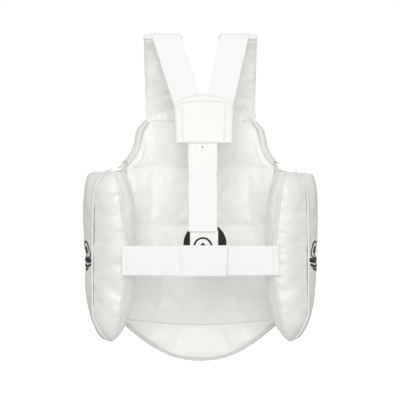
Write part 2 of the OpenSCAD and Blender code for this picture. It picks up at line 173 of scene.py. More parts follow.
SEAM_TURN = math.acos((SEAM_X / TORSO_A) ** (TORSO_N / 2))
PLAN_STEPS = 400
PLAN_TURNS = [SEAM_TURN + (math.pi - 2 * SEAM_TURN) * k / PLAN_STEPS for k in range(PLAN_STEPS + 1)]
PLAN_RUN = [0.0]
for t0, t1 in zip(PLAN_TURNS, PLAN_TURNS[1:]):
    PLAN_RUN.append(PLAN_RUN[-1] + (plan_raw(t1, 0) - plan_raw(t0, 0)).length)
PLAN_LENGTH = PLAN_RUN[-1]
PLAN_ROWS = list(zip(PLAN_RUN, PLAN_TURNS))


def on_panel(share, depth, z):
    """Point of the front panel: share 0 at the right side seam, 1 at the left, depth out from the lining."""
    inside = min(max(share, 0.0), 1.0)
    turn = table(PLAN_ROWS, inside * PLAN_LENGTH)
    p = plan_raw(turn, depth)
    if share != inside:
        run = plan_raw(turn, 1.0) - plan_raw(turn, 0.0)
        p += (share - inside) * PLAN_LENGTH * Vector((-run.y, run.x))
    return Vector((p.x, p.y, z))


def apron_seam_z(x):
    return APRON_SEAM + APRON_RISE * (x / SEAM_X) ** 2


def apron_edge_z(x):
    side = apron_seam_z(SEAM_X) - 6 * MM
    return side - (side - APRON_LOW) * (1 - min(abs(x) / (SEAM_X + 2 * MM), 1) ** 2.3)


# Top edge of the panel by distance from the centre line: neck scoop, shoulder, armhole
TOP_EDGE = [
    (0.0, NECK_LOW), (10 * MM, NECK_LOW + 1 * MM), (19 * MM, NECK_LOW + 4 * MM),
    (26 * MM, NECK_LOW + 10 * MM), (32 * MM, NECK_LOW + 18 * MM), (38 * MM, CHEST_TOP - 6 * MM),
    (46 * MM, CHEST_TOP), (99.5 * MM, CHEST_TOP), (106 * MM, CHEST_TOP - 5 * MM),
    (112.5 * MM, CHEST_TOP - 12 * MM), (117 * MM, CHEST_TOP - 22 * MM), (119.5 * MM, CHEST_TOP - 34 * MM),
    (122 * MM, CHEST_TOP - 47 * MM), (125.5 * MM, CHEST_TOP - 58 * MM), (131 * MM, CHEST_TOP - 67 * MM),
    (136 * MM, CHEST_TOP - 74 * MM), (140.1 * MM, CHEST_TOP - 80 * MM),
]


# ---- meshes ----

def new_object(name, bm):
    mesh = bpy.data.meshes.new(name)
    bm.to_mesh(mesh)
    bm.free()
    obj = bpy.data.objects.new(name, mesh)
    bpy.context.scene.collection.objects.link(obj)
    for face in mesh.polygons:
        face.use_smooth = True
    return obj


def laid_grid(bm, cols, rows, place, size=(1.0, 1.0), part=0):
    """Lay a grid of cols by rows cells with place(u, v), and give it a UV map in metres of size."""
    uv = bm.loops.layers.uv.get("UVMap") or bm.loops.layers.uv.new("UVMap")
    new = bmesh.ops.create_grid(bm, x_segments=cols, y_segments=rows, size=0.5)["verts"]
    faces = {f for v in new for f in v.link_faces}
    for face in faces:
        face.material_index = part
        for loop in face.loops:
            loop[uv].uv = ((loop.vert.co.x + 0.5) * size[0], (loop.vert.co.y + 0.5) * size[1])
    for v in new:
        v.co = place(v.co.x + 0.5, v.co.y + 0.5)
    return new


def weld(bm, gap=0.02 * MM):
    bmesh.ops.remove_doubles(bm, verts=bm.verts, dist=gap)
    bmesh.ops.recalc_face_normals(bm, faces=bm.faces)


def solid_grid(name, cols, rows, place, size=(1.0, 1.0), wrap=False, cap=False):
    bm = bmesh.new()
    laid_grid(bm, cols, rows, place, size)
    if wrap or cap:
        weld(bm)
    if cap:
        bmesh.ops.holes_fill(bm, edges=[e for e in bm.edges if e.is_boundary], sides=0)
        bmesh.ops.recalc_face_normals(bm, faces=bm.faces)
    return new_object(name, bm)


def apply_modifiers(obj):
    graph = bpy.context.evaluated_depsgraph_get()
    graph.update()
    mesh = bpy.data.meshes.new_from_object(obj.evaluated_get(graph), preserve_all_data_layers=True, depsgraph=graph)
    obj.modifiers.clear()
    old = obj.data
    obj.data = mesh
    bpy.data.meshes.remove(old)
    return obj


def subdivided(obj, levels=1):
    mod = obj.modifiers.new("Subdivision", "SUBSURF")
    mod.levels = levels
    mod.render_levels = levels
    return apply_modifiers(obj)


def walled(obj, thickness, offset=-1.0):
    mod = obj.modifiers.new("Wall", "SOLIDIFY")
    mod.thickness = thickness
    mod.offset = offset
    mod.use_even_offset = False
    mod.use_quality_normals = True
    return apply_modifiers(obj)


def swept(name, path, across, half_wide, half_thick, rings=10, cap=True):
    """Cord or tape swept along a path. across gives the direction of its wide side at each point."""
    length = sum((b - a).length for a, b in zip(path, path[1:]))
    n = len(path) - 1

    def place(u, v):
        i = min(int(round(u * n)), n)
        run = (path[min(i + 1, n)] - path[max(i - 1, 0)]).normalized()
        wide = (across[i] - across[i].dot(run) * run).normalized()
        thick = run.cross(wide)
        a = 2 * math.pi * v
        return path[i] + half_wide * math.cos(a) * wide + half_thick * math.sin(a) * thick

    return solid_grid(name, n, rings, place, (length, 2 * math.pi * half_wide), wrap=True, cap=cap)


def finish_piece(obj, material, body=None, nodes=()):
    """Give a finished piece its material in its one slot, its body, and the nodes it stands for, which it hides."""
    obj.data.materials.clear()
    obj.data.materials.append(material)
    for face in obj.data.polygons:
        face.material_index = 0
        face.use_smooth = True
    if body:
        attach(obj, body)
    if nodes:
        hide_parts(*nodes)
    return obj


def surface_of(*objs):
    """One search tree over the meshes of the objects."""
    verts, faces = [], []
    for obj in objs:
        base = len(verts)
        verts += [v.co.copy() for v in obj.data.vertices]
        faces += [[base + i for i in f.vertices] for f in obj.data.polygons]
    return BVHTree.FromPolygons(verts, faces)


# ---- cloth: air pressure inside a sewn cover, held along its seams ----

def inflate(obj, held, pressure, grow, cap, frames=20, tension=18.0, bending=1.2):
    """Blow a cover up with Blender's cloth. held is the group of sewn vertices, grow the share that the
    cloth is cut too large by, and cap the furthest that a point may move."""
    rest = [v.co.copy() for v in obj.data.vertices]
    cloth = obj.modifiers.new("Cloth", "CLOTH")
    s = cloth.settings
    s.quality = 6
    s.mass = 0.25
    s.tension_stiffness = tension
    s.compression_stiffness = tension
    s.shear_stiffness = 5.0
    s.bending_stiffness = bending
    s.tension_damping = 8.0
    s.compression_damping = 8.0
    s.air_damping = 4.0
    s.use_pressure = True
    s.uniform_pressure_force = pressure
    s.shrink_min = -grow
    s.vertex_group_mass = held
    s.pin_stiffness = 1.0
    s.effector_weights.gravity = 0.0
    cloth.collision_settings.use_collision = False
    cloth.point_cache.frame_start = 1
    cloth.point_cache.frame_end = frames
    scene = bpy.context.scene
    for f in range(1, frames + 1):
        scene.frame_set(f)
    apply_modifiers(obj)
    scene.frame_set(1)
    for v, start in zip(obj.data.vertices, rest):
        move = v.co - start
        if move.length > cap:
            v.co = start + move * (cap / move.length)
    return obj


# ---- materials ----

def colour(hex_code):
    """sRGB hex to linear RGBA."""
    parts = [int(hex_code[i:i + 2], 16) / 255 for i in (1, 3, 5)]
    return tuple(p / 12.92 if p <= 0.04045 else ((p + 0.055) / 1.055) ** 2.4 for p in parts) + (1.0,)


def add_node(tree, kind, inputs=None, **settings):
    node = tree.nodes.new(kind)
    for key, value in settings.items():
        setattr(node, key, value)
    for key, value in (inputs or {}).items():
        if isinstance(value, bpy.types.NodeSocket):
            tree.links.new(value, node.inputs[key])
        else:
            node.inputs[key].default_value = value
    return node


def new_material(name):
    mat = bpy.data.materials.new(name)
    mat.use_nodes = True
    mat.node_tree.nodes.clear()
    return mat, mat.node_tree


def output(tree, shader):
    add_node(tree, "ShaderNodeOutputMaterial", {"Surface": shader.outputs[0]})


def two_tones(tree, factor, low, high):
    """Colour socket that goes from low to high with factor."""
    node = add_node(tree, "ShaderNodeMix", {"Factor": factor}, data_type="RGBA")
    ends = [socket for socket in node.inputs if socket.type == "RGBA"]
    for socket, hex_code in zip(ends, (low, high)):
        socket.default_value = colour(hex_code)
    return next(socket for socket in node.outputs if socket.type == "RGBA")


def vinyl(name, light, shade, rough, grain=1.0):
    """Pressed PU leather: a knit backed vinyl with a fine pebbled grain and a satin skin."""
    mat, t = new_material(name)
    where = add_node(t, "ShaderNodeTexCoord").outputs["Object"]
    # Grain pebbles are about 1 mm across on the real sheet; 1.8 mm lets them show
    pebbles = add_node(t, "ShaderNodeTexVoronoi", {"Vector": where, "Scale": 1 / (1.8 * MM), "Randomness": 0.9},
                       feature="SMOOTH_F1")
    creases = add_node(t, "ShaderNodeTexNoise", {"Vector": where, "Scale": 1 / (14 * MM), "Detail": 3.0,
                                                 "Roughness": 0.55})
    patches = add_node(t, "ShaderNodeTexNoise", {"Vector": where, "Scale": 1 / (60 * MM), "Detail": 2.0})
    gloss = add_node(t, "ShaderNodeMapRange", {"Value": pebbles.outputs["Distance"], "From Min": 0.0,
                                               "From Max": 0.8, "To Min": rough - 0.05, "To Max": rough + 0.08})
    fine = add_node(t, "ShaderNodeBump", {"Height": pebbles.outputs["Distance"], "Strength": 0.16 * grain,
                                          "Distance": 0.25 * MM})
    bump = add_node(t, "ShaderNodeBump", {"Height": creases.outputs["Fac"], "Strength": 0.22 * grain,
                                          "Distance": 1.2 * MM, "Normal": fine.outputs["Normal"]})
    skin = add_node(t, "ShaderNodeBsdfPrincipled", {
        "Base Color": two_tones(t, patches.outputs["Fac"], light, shade),
        "Roughness": gloss.outputs["Result"],
        "Normal": bump.outputs["Normal"],
        "IOR": 1.5,
        "Coat Weight": 0.12,
        "Coat Roughness": 0.32,
    })
    output(t, skin)
    return mat


def webbing(name, light, shade):
    """Woven elastic: rubber cored ribs across the strap under a matte polyester face."""
    mat, t = new_material(name)
    where = add_node(t, "ShaderNodeTexCoord").outputs["UV"]
    split = add_node(t, "ShaderNodeSeparateXYZ", {"Vector": where})
    # Ribs are about 1.2 mm apart on the real elastic; 2 mm lets them show
    ribs = add_node(t, "ShaderNodeMath", {0: split.outputs["X"], 1: 2 * math.pi / (2.0 * MM)}, operation="MULTIPLY")
    rib_wave = add_node(t, "ShaderNodeMath", {0: ribs.outputs[0]}, operation="SINE")
    cords = add_node(t, "ShaderNodeMath", {0: split.outputs["Y"], 1: 2 * math.pi / (1.6 * MM)}, operation="MULTIPLY")
    cord_wave = add_node(t, "ShaderNodeMath", {0: cords.outputs[0]}, operation="SINE")
    weave = add_node(t, "ShaderNodeMath", {0: rib_wave.outputs[0], 1: cord_wave.outputs[0]}, operation="MULTIPLY")
    height = add_node(t, "ShaderNodeMath", {0: weave.outputs[0], 1: 0.6, 2: rib_wave.outputs[0]},
                      operation="MULTIPLY_ADD")
    fuzz = add_node(t, "ShaderNodeTexNoise", {"Vector": where, "Scale": 1 / (5 * MM), "Detail": 4.0})
    # Painted shade: the colour follows the weave's height, darker in the grooves between the ribs and lighter on
    # their crests
    rib_groove_shade = add_node(t, "ShaderNodeMapRange", {"Value": height.outputs[0], "From Min": -1.6, "From Max": 1.6,
                                               "To Min": 0.0, "To Max": 1.0})
    bump = add_node(t, "ShaderNodeBump", {"Height": height.outputs[0], "Strength": 0.35, "Distance": 0.25 * MM})
    soft = add_node(t, "ShaderNodeBump", {"Height": fuzz.outputs["Fac"], "Strength": 0.2, "Distance": 0.5 * MM,
                                          "Normal": bump.outputs["Normal"]})
    cloth = add_node(t, "ShaderNodeBsdfPrincipled", {
        "Base Color": two_tones(t, rib_groove_shade.outputs["Result"], shade, light),
        "Roughness": 0.85,
        "Normal": soft.outputs["Normal"],
        "Sheen Weight": 0.25,
        "Sheen Roughness": 0.5,
        "Specular IOR Level": 0.25,
    })
    output(t, cloth)
    return mat


def rough_stuff(name, hex_code, dark, size, rough, strength):
    """Foam, thread, print or hook tape: one colour broken up by a fine random texture."""
    mat, t = new_material(name)
    where = add_node(t, "ShaderNodeTexCoord").outputs["Object"]
    cells = add_node(t, "ShaderNodeTexNoise", {"Vector": where, "Scale": 1 / size, "Detail": 5.0, "Roughness": 0.65})
    bump = add_node(t, "ShaderNodeBump", {"Height": cells.outputs["Fac"], "Strength": strength, "Distance": size / 3})
    shader = add_node(t, "ShaderNodeBsdfPrincipled", {
        "Base Color": two_tones(t, cells.outputs["Fac"], dark, hex_code),
        "Roughness": rough,
        "Normal": bump.outputs["Normal"],
    })
    output(t, shader)
    return mat


# White PU leather of the covers: satin, faint pebble, a breath of warmth in the folds
cover_vinyl = vinyl("white_pu_leather_satin", "#efeeec", "#e9e8e5", 0.42)
# Covers of the wings: the panel's vinyl made greyer as painted shade, so the wings read darker, and a touch shinier
wing_vinyl_painted_shade = vinyl("pu_leather_satin_painted_shade", "#e6e5e3", "#dfdedb", 0.34)
# The lining is the same sheet made lighter, painted light that lifts its shaded inside, with a duller face
lining_vinyl_painted_light = vinyl("lining_pu_leather_dull_painted_light", "#f7f6f4", "#f2f1ee", 0.48, 0.8)
# Piping and bindings are cut from a smoother, slightly greyer strip
piping_vinyl = vinyl("piping_pu_strip_gloss", "#e8e7e5", "#e1e0dd", 0.38, 0.5)
# White woven elastic of the belt and the straps
elastic = webbing("white_woven_elastic", "#f5f5f5", "#eaeaea")
# Polyethylene foam of the pads, seen only where a seam opens
foam_stuff = rough_stuff("white_closed_cell_foam", "#e9e9e4", "#d6d6cf", 2.0 * MM, 0.9, 0.5)
# Bonded polyester thread, tinted a shade darker than the vinyl as painted shade of the line where it sinks in
thread_painted_shade = rough_stuff("white_polyester_thread_painted_shade", "#e9e9e6", "#d5d5d0", 0.8 * MM, 0.7, 0.3)
# Screen printed ink on vinyl
ink_stuff = rough_stuff("black_screen_ink", "#0c0c0c", "#060606", 1.5 * MM, 0.75, 0.12)
# Nylon hook and loop pile
pile_stuff = rough_stuff("white_hook_and_loop_pile", "#f2f2f2", "#d9d9d9", 0.9 * MM, 0.95, 0.8)
# Woven satin label tape
label_stuff = rough_stuff("white_woven_label", "#fbfbfb", "#eeeeee", 0.7 * MM, 0.6, 0.2)

# ---- the sewn outlines of the panel, by distance from the centre line along it ----

HALF = PLAN_LENGTH / 2
MIDDLE = PANEL_T / 2


def reach(x, depth=0.0):
    """Distance along the panel from the centre line to the place that lies x away from it at that depth."""
    low, high = 0.0, HALF
    for _ in range(40):
        mid = (low + high) / 2
        if abs(plan_raw(table(PLAN_ROWS, HALF - mid), depth).x) < x:
            low = mid
        else:
            high = mid
    return low


def beside(q, depth, z):
    """Point of the panel at signed distance q from the centre line, positive to the right."""
    return on_panel((HALF - q) / PLAN_LENGTH, depth, z)


def moved_in(rows, inset, side=1):
    """Rows (q, z) of an outline moved square to itself by inset, downwards for side 1 and upwards for -1."""
    out = []
    for k, (q, z) in enumerate(rows):
        q0, z0 = rows[max(k - 1, 0)]
        q1, z1 = rows[min(k + 1, len(rows) - 1)]
        run = math.hypot(q1 - q0, z1 - z0)
        out.append((q + side * inset * (z1 - z0) / run, z - side * inset * (q1 - q0) / run))
    kept = [out[0]]
    for q, z in out[1:]:
        if q > kept[-1][0] + 0.3 * MM:
            kept.append((q, z))
    return kept


def finer(rows, steps=6):
    points = [Vector((q, z)) for q, z in rows]
    n = (len(points) - 1) * steps
    return [tuple(along(points, k / n)) for k in range(n + 1)]


TOP_ROWS = finer([(reach(x, 14 * MM), z) for x, z in TOP_EDGE])
APRON_ROWS = [(reach(x), apron_edge_z(x)) for x in [SEAM_X * k / 40 for k in range(41)]]

# Depth of the roll along the edge, and the groove that is sewn beside it
EDGE_ROLL = 4.6 * MM
EDGE_GROOVE = 7.8 * MM
SEWN_IN = 5.6 * MM
SEWN_OUT = 17.5 * MM


def dome(distance, run):
    """Quarter round: 0 at the sewn line and 1 from run away from it."""
    t = min(max(distance / run, 0.0), 1.0)
    return math.sqrt(1 - (1 - t) ** 2)


def cushion_mesh(name, cols, rows, layer, size=(1.0, 1.0), rims=None, parts=(0, 1, 2)):
    """Closed cushion from its inside face layer(True) to its outside face layer(False), with a wall round."""
    inner, outer = layer(True), layer(False)
    rims = rims or (size, size)
    bm = bmesh.new()
    laid_grid(bm, cols, rows, inner, size, parts[0])
    laid_grid(bm, cols, rows, outer, size, parts[1])
    for fixed in (0.0, 1.0):
        laid_grid(bm, 1, rows, lambda u, v: inner(fixed, v).lerp(outer(fixed, v), u), rims[0], parts[2])
        laid_grid(bm, cols, 1, lambda u, v: inner(u, fixed).lerp(outer(u, fixed), v), rims[1], parts[2])
    weld(bm)
    return new_object(name, bm)


def cushion_panel(name, cols, levels, counts, channels, shallow, share_low=0.0, share_high=1.0, puff=1.0):
    """Closed quilted cushion of the panel between the first and last of levels, which give z by q.
    shallow gives the levels that are sewn as lightly as a channel. Its parts are 0 the lining, 1 the cover
    and 2 the narrow wall round the edge."""
    rows = sum(counts)

    def height(v, q):
        row = v * rows
        for low, high, n in zip(levels, levels[1:], counts):
            if row <= n + 1e-6:
                return mix(low(q), high(q), row / n)
            row -= n
        return levels[-1](q)

    def layer(inside):
        def place(u, v):
            share = mix(share_low, share_high, u)
            q = HALF - share * PLAN_LENGTH
            z = height(v, abs(q))
            edge = dome(min(u, 1 - u) * PLAN_LENGTH, 17 * MM)
            sewn = 1.0
            for level in [levels[0](abs(q)), levels[-1](abs(q))]:
                if level in shallow(abs(q)):
                    sewn = min(sewn, dome(abs(z - level), 13 * MM))
                else:
                    edge *= dome(abs(z - level), 15 * MM)
            for level in channels:
                sewn = min(sewn, dome(abs(z - level) - 0.3 * MM, 13 * MM))
            if inside:
                depth = SEWN_IN * (1 - edge) + 3.2 * MM * (1 - sewn) * edge - 1.0 * MM * puff * edge * sewn
            else:
                depth = mix(SEWN_OUT, PANEL_T - 1.0 * MM, edge) - 5.5 * MM * (1 - sewn) * edge
            return on_panel(share, depth, z)
        return place

    size = ((share_high - share_low) * PLAN_LENGTH, levels[-1](0.08) - levels[0](0.08))
    return cushion_mesh(name, cols, rows, layer, size), height


def sewn_vertices(obj, extra=lambda co: False):
    """Indices of the vertices on the wall round the edge, and of those that extra picks by place."""
    on_wall = {i for f in obj.data.polygons if f.material_index >= 2 for i in f.vertices}
    return on_wall | {v.index for v in obj.data.vertices if extra(v.co)}


def hold_set(obj, indices, name="sewn"):
    obj.vertex_groups.new(name=name).add(sorted(indices), 1.0, "REPLACE")
    return name


def part_of(obj, name, parts):
    """A copy of obj that keeps only the faces of these parts."""
    bm = bmesh.new()
    bm.from_mesh(obj.data)
    bmesh.ops.delete(bm, geom=[f for f in bm.faces if f.material_index not in parts], context="FACES")
    return new_object(name, bm)


def wrinkle(obj, height):
    """Move each vertex along its normal by height(co), so that soft creases are real geometry."""
    mesh = obj.data
    moves = [(v.index, v.co + v.normal * height(v.co)) for v in mesh.vertices]
    for i, co in moves:
        mesh.vertices[i].co = co
    return obj


def sheath(source, name, parts, thickness=1.2 * MM, levels=1, height=None):
    """Cover cut from an inflated form: its faces, a wall to the inside, and finer soft creases."""
    obj = part_of(source, name, parts)
    obj.vertex_groups.clear()
    if levels:
        subdivided(obj, levels)
    if height:
        wrinkle(obj, height)
    walled(obj, thickness)
    return obj


def discard(*objs):
    for obj in objs:
        mesh = obj.data
        bpy.data.objects.remove(obj)
        bpy.data.meshes.remove(mesh)


# ---- quilted front panel ----

TOP_GROOVE = moved_in(TOP_ROWS, EDGE_GROOVE)
SEAM_LINE = [(reach(SEAM_X * k / 20), apron_seam_z(SEAM_X * k / 20)) for k in range(21)]
APRON_GROOVE = moved_in(APRON_ROWS, 4.5 * MM, -1)

YOKE_SPAN = (reach(36 * MM), reach(43 * MM), reach(88 * MM), reach(95 * MM))


def top_line(q):
    """Top of the quilting: the groove beside the rolled edge, and the yoke seam where a yoke is sewn on."""
    under_yoke = smooth(YOKE_SPAN[0], YOKE_SPAN[1], q) * (1 - smooth(YOKE_SPAN[2], YOKE_SPAN[3], q))
    return mix(table(TOP_GROOVE, q), CHEST_TOP - 0.5 * MM, under_yoke)


seam_line = lambda q: table(SEAM_LINE, q) - 0.3 * MM
mid_line = lambda q: CHANNEL_MID
high_line = lambda q: min(CHANNEL_HIGH, top_line(q) - 9 * MM)

trunk_form, _ = cushion_panel("trunk_form", 66, (seam_line, mid_line, high_line, top_line), (34, 20, 15),
                              (CHANNEL_MID, CHANNEL_HIGH), lambda q: [seam_line(q)])


def on_channel(co):
    return min(abs(co.z - CHANNEL_MID), abs(co.z - CHANNEL_HIGH)) < 1.2 * MM and abs(co.x) < 118 * MM


inflate(trunk_form, hold_set(trunk_form, sewn_vertices(trunk_form, on_channel)), 3.5, 0.012, 6 * MM)


def lining_creases(co):
    """Shallow dents of the lining: broad ones all over, and short puckers along the sewn channels."""
    near = min(abs(co.z - CHANNEL_MID), abs(co.z - CHANNEL_HIGH), abs(co.z - APRON_SEAM - 5 * MM))
    pucker = math.exp(-near / (7 * MM)) * crumple(Vector((co.x, co.y, 0.25 * co.z)), 9 * MM, 3.0)
    return 0.7 * MM * crumple(co, 60 * MM, 1.0) + 0.6 * MM * pucker + 0.15 * MM * crumple(co, 15 * MM, 2.0)


lining = sheath(trunk_form, "lining_quilted", (0,), height=lining_creases)
finish_piece(lining, lining_vinyl_painted_light, "trunk", ["lining"])
front = sheath(trunk_form, "front_cover_quilted", (1, 2), height=lining_creases)
finish_piece(front, cover_vinyl, "trunk", ["front_cover"])
discard(trunk_form)


def foam_block(name, node, levels, share=0.012):
    """Foam core of one quilted field, a little smaller than the cover round it."""
    def place(inside):
        def at(u, v):
            s = mix(share, 1 - share, u)
            q = abs(HALF - s * PLAN_LENGTH)
            z = mix(levels[0](q), levels[1](q), v)
            round_off = dome(min(u, 1 - u) * PLAN_LENGTH, 12 * MM) * dome(min(v, 1 - v) * abs(
                levels[1](q) - levels[0](q)), 12 * MM)
            return on_panel(s, mix(11 * MM, 4.5 * MM, round_off) if inside
                            else mix(14 * MM, PANEL_T - 5 * MM, round_off), z)
        return at

    obj = cushion_mesh(name, 44, 12, place, parts=(0, 0, 0))
    return finish_piece(obj, foam_stuff, nodes=[node])


shifted = lambda line, by: (lambda q: line(q) + by)
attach(foam_block("chest_foam_core", "chest_foam", (shifted(high_line, 2.5 * MM), shifted(top_line, -3 * MM))),
        "trunk")
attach(foam_block("middle_foam_core", "middle_foam", (shifted(mid_line, 2.5 * MM), shifted(high_line, -2.5 * MM))),
        "trunk")
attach(foam_block("lower_foam_core", "lower_foam", (shifted(seam_line, 3 * MM), shifted(mid_line, -2.5 * MM))),
        "trunk")


# ---- rolled bindings along the armholes and the neck ----

def edge_path(q_low, q_high, inset, steps):
    rows = moved_in(TOP_ROWS, inset)
    low, high = max(q_low, -rows[-1][0]), min(q_high, rows[-1][0])
    picked = [(q, z) for q, z in rows if low <= q <= high]
    if q_low < 0:
        picked = [(-q, z) for q, z in reversed(rows) if q > 1e-6 and -q >= low] + picked
    points = [Vector(r) for r in picked]
    return [tuple(along(points, k / steps)) for k in range(steps + 1)]


def rolled_edge(name, path, node, seed, half_wide=EDGE_ROLL, half_thick=8.6 * MM):
    points = [beside(q, MIDDLE, z) for q, z in path]
    across = []
    for k in range(len(path)):
        (q0, z0), (q1, z1) = path[max(k - 1, 0)], path[min(k + 1, len(path) - 1)]
        q, z = path[k]
        step = 2 * MM / math.hypot(q1 - q0, z1 - z0)
        across.append(beside(q + (z1 - z0) * step, MIDDLE, z - (q1 - q0) * step) - points[k])
    obj = swept(name, points, across, half_wide, half_thick, 14)
    subdivided(obj, 1)
    wrinkle(obj, lambda co: 0.45 * MM * crumple(co, 7 * MM, seed) + 0.5 * MM * crumple(co, 20 * MM, seed))
    return finish_piece(obj, piping_vinyl, "trunk", [node])


arm_rows = edge_path(reach(86 * MM), HALF - 1 * MM, EDGE_ROLL, 60)
rolled_edge("armhole_roll_right", arm_rows, "armhole_binding_right", 4.0)
rolled_edge("armhole_roll_left", [(-q, z) for q, z in reversed(arm_rows)], "armhole_binding_left", 5.0)
rolled_edge("neck_roll", edge_path(-reach(44 * MM), reach(44 * MM), EDGE_ROLL, 60), "neck_binding", 6.0)


# ---- apron ----

apron_top = lambda q: table(SEAM_LINE, q) + 0.3 * MM
apron_low = lambda q: min(table(APRON_GROOVE, q), apron_top(q) - 4 * MM)
apron_form, _ = cushion_panel("apron_form", 60, (apron_low, apron_top), (16,), (), lambda q: [apron_top(q)],
                              0.008, 0.992)
inflate(apron_form, hold_set(apron_form, sewn_vertices(apron_form)), 3.5, 0.012, 5 * MM)


def apron_creases(co):
    return 0.8 * MM * crumple(co, 40 * MM, 8.0) + 0.25 * MM * crumple(co, 14 * MM, 9.0)


def hang_apron(obj):
    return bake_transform(obj)


hang_apron(finish_piece(sheath(apron_form, "apron_lining_quilted", (0,), height=apron_creases), lining_vinyl_painted_light,
                        nodes=["apron_lining"]))
hang_apron(finish_piece(sheath(apron_form, "apron_cover_quilted", (1, 2), height=apron_creases), cover_vinyl,
                        nodes=["apron_cover"]))
discard(apron_form)
hang_apron(foam_block("apron_foam_core", "apron_foam",
                      (shifted(apron_low, 2 * MM), lambda q: max(apron_top(q) - 2 * MM, apron_low(q) + 2.5 * MM)),
                      0.03))
hem_rows = [(q, z) for q, z in moved_in(APRON_ROWS, 2.8 * MM, -1)]
hem_rows = [(-q, z) for q, z in reversed(hem_rows[1:])] + hem_rows
hem_points = [Vector(r) for r in hem_rows if abs(r[0]) < HALF - 3 * MM]
apron_roll = [tuple(along(hem_points, k / 96)) for k in range(97)]
roll_points = [beside(q, MIDDLE, z) for q, z in apron_roll]
roll_across = [Vector((0, 0, 1))] * len(roll_points)
apron_edge = swept("apron_edge_roll", roll_points, roll_across, 2.9 * MM, 7.4 * MM, 12)
subdivided(apron_edge, 1)
wrinkle(apron_edge, lambda co: 0.35 * MM * crumple(co, 8 * MM, 10.0))
hang_apron(finish_piece(apron_edge, piping_vinyl, nodes=["apron_binding"]))


# ---- side wings ----

# Side view of a wing, Y and Z: along the top, down the rear edge, and along the bottom
TOP_LINE = [(90, 68), (78, 67), (60, 64), (36, 58), (12, 53), (-20, 50), (-46, 49), (-58, 48.5)]
REAR_LINE = [(-58, 48.5), (-68, 45), (-76, 36), (-79.4, 22), (-80, 0), (-80, -50), (-80, -100), (-80, -150),
             (-79.5, -185), (-77, -211), (-70, -229), (-60, -238.5)]
LOW_LINE = [(90, -214), (60, -222), (30, -231), (0, -237), (-25, -240), (-45, -240.5), (-60, -238.5)]
# Distance of the two pipings from the centre line along the same three lines
TOP_OUT = [(90, 143.5), (60, 150), (20, 158), (-20, 161), (-58, 160)]
TOP_IN = [(90, 134.5), (60, 137), (20, 139), (-20, 142), (-58, 145)]
REAR_OUT = [(-240, 153.5), (-236, 158), (-230, 163), (-214, 173), (-195, 180.5), (-150, 182), (-50, 181.5), (0, 180),
            (22, 177), (33, 172), (42, 166), (49, 160)]
REAR_IN = [(-240, 152), (-236, 149.5), (-230, 145.4), (-214, 139.4), (-197, 136), (-175, 131.6), (-154, 128.7),
           (-132, 125.2), (-110, 124), (-75, 124), (-50, 126.8), (-17, 131.6), (5, 133.6), (28, 138.6), (42, 142.5),
           (49, 145)]
LOW_OUT = [(90, 143.5), (40, 149), (-20, 153), (-60, 153.5)]
LOW_IN = [(90, 134.5), (40, 140), (-20, 148), (-60, 152)]
# Plan of the two sides half way up, Y and X
PLAN_OUT = [(90, 145), (84, 151), (70, 161), (50, 174), (30, 186), (10, 194), (-10, 198), (-30, 198), (-48, 195),
            (-64, 189.5), (-74, 185), (-80, 182)]
PLAN_IN = [(90, 134), (76, 133), (60, 130), (40, 127), (20, 123.5), (0, 121), (-28, 118.5), (-50, 119), (-66, 121),
           (-76, 123), (-80, 124.5)]


def read(rows, x):
    """Smooth reading of a short list of (x, value) pairs in millimetres, in either order."""
    rows = sorted(rows)
    if x <= rows[0][0]:
        return rows[0][1]
    for k in range(len(rows) - 1):
        if x <= rows[k + 1][0]:
            f = (x - rows[k][0]) / (rows[k + 1][0] - rows[k][0])
            f0, f1 = rows[k][1], rows[k + 1][1]
            s0 = (f1 - rows[max(k - 1, 0)][1]) / (rows[k + 1][0] - rows[max(k - 1, 0)][0])
            s1 = (rows[min(k + 2, len(rows) - 1)][1] - f0) / (rows[min(k + 2, len(rows) - 1)][0] - rows[k][0])
            w = rows[k + 1][0] - rows[k][0]
            return ((2 * f ** 3 - 3 * f ** 2 + 1) * f0 + (f ** 3 - 2 * f ** 2 + f) * s0 * w
                    + (3 * f ** 2 - 2 * f ** 3) * f1 + (f ** 3 - f ** 2) * s1 * w)
    return rows[-1][1]


def even(rows):
    """Points at equal steps along a smooth curve through rows."""
    points = [Vector(r) for r in rows]
    fine = [along(points, k / 300) for k in range(301)]
    runs = [0.0]
    for a, b in zip(fine, fine[1:]):
        runs.append(runs[-1] + (b - a).length)
    marks = list(zip(runs, fine))
    return lambda t: table([(r / runs[-1], p) for r, p in marks], t)


SIDE_TOP, SIDE_REAR, SIDE_LOW = even(TOP_LINE), even(REAR_LINE[::-1]), even(LOW_LINE)
SEAM_LOW_Z, SEAM_TOP_Z = LOW_LINE[0][1], TOP_LINE[0][1]
WING_S, WING_T = 34, 56
SIDE_POINTS = {}


def side_point(s, t):
    """Y and Z of a wing's side: s from the side seam to the rear piping, t from the bottom to the top."""
    key = (round(s * WING_S, 3), round(t * WING_T, 3))
    if key not in SIDE_POINTS:
        top, low, rear = SIDE_TOP(s), SIDE_LOW(s), SIDE_REAR(t)
        seam = Vector((90, mix(SEAM_LOW_Z, SEAM_TOP_Z, t)))
        c00, c10 = Vector(LOW_LINE[0]), Vector(LOW_LINE[-1])
        c01, c11 = Vector(TOP_LINE[0]), Vector(TOP_LINE[-1])
        edge = mix(low, top, t) + mix(seam, rear, s)
        edge -= (1 - s) * (1 - t) * c00 + s * (1 - t) * c10 + (1 - s) * t * c01 + s * t * c11
        SIDE_POINTS[key] = edge
    return SIDE_POINTS[key]


def wing_edge(s, t, out):
    """X of the piping line of one side, on whichever of the three edges s and t lie."""
    y, z = side_point(s, t)
    if s >= 1:
        return read(REAR_OUT if out else REAR_IN, z)
    if t >= 1:
        return read(TOP_OUT if out else TOP_IN, y)
    return read(LOW_OUT if out else LOW_IN, y)


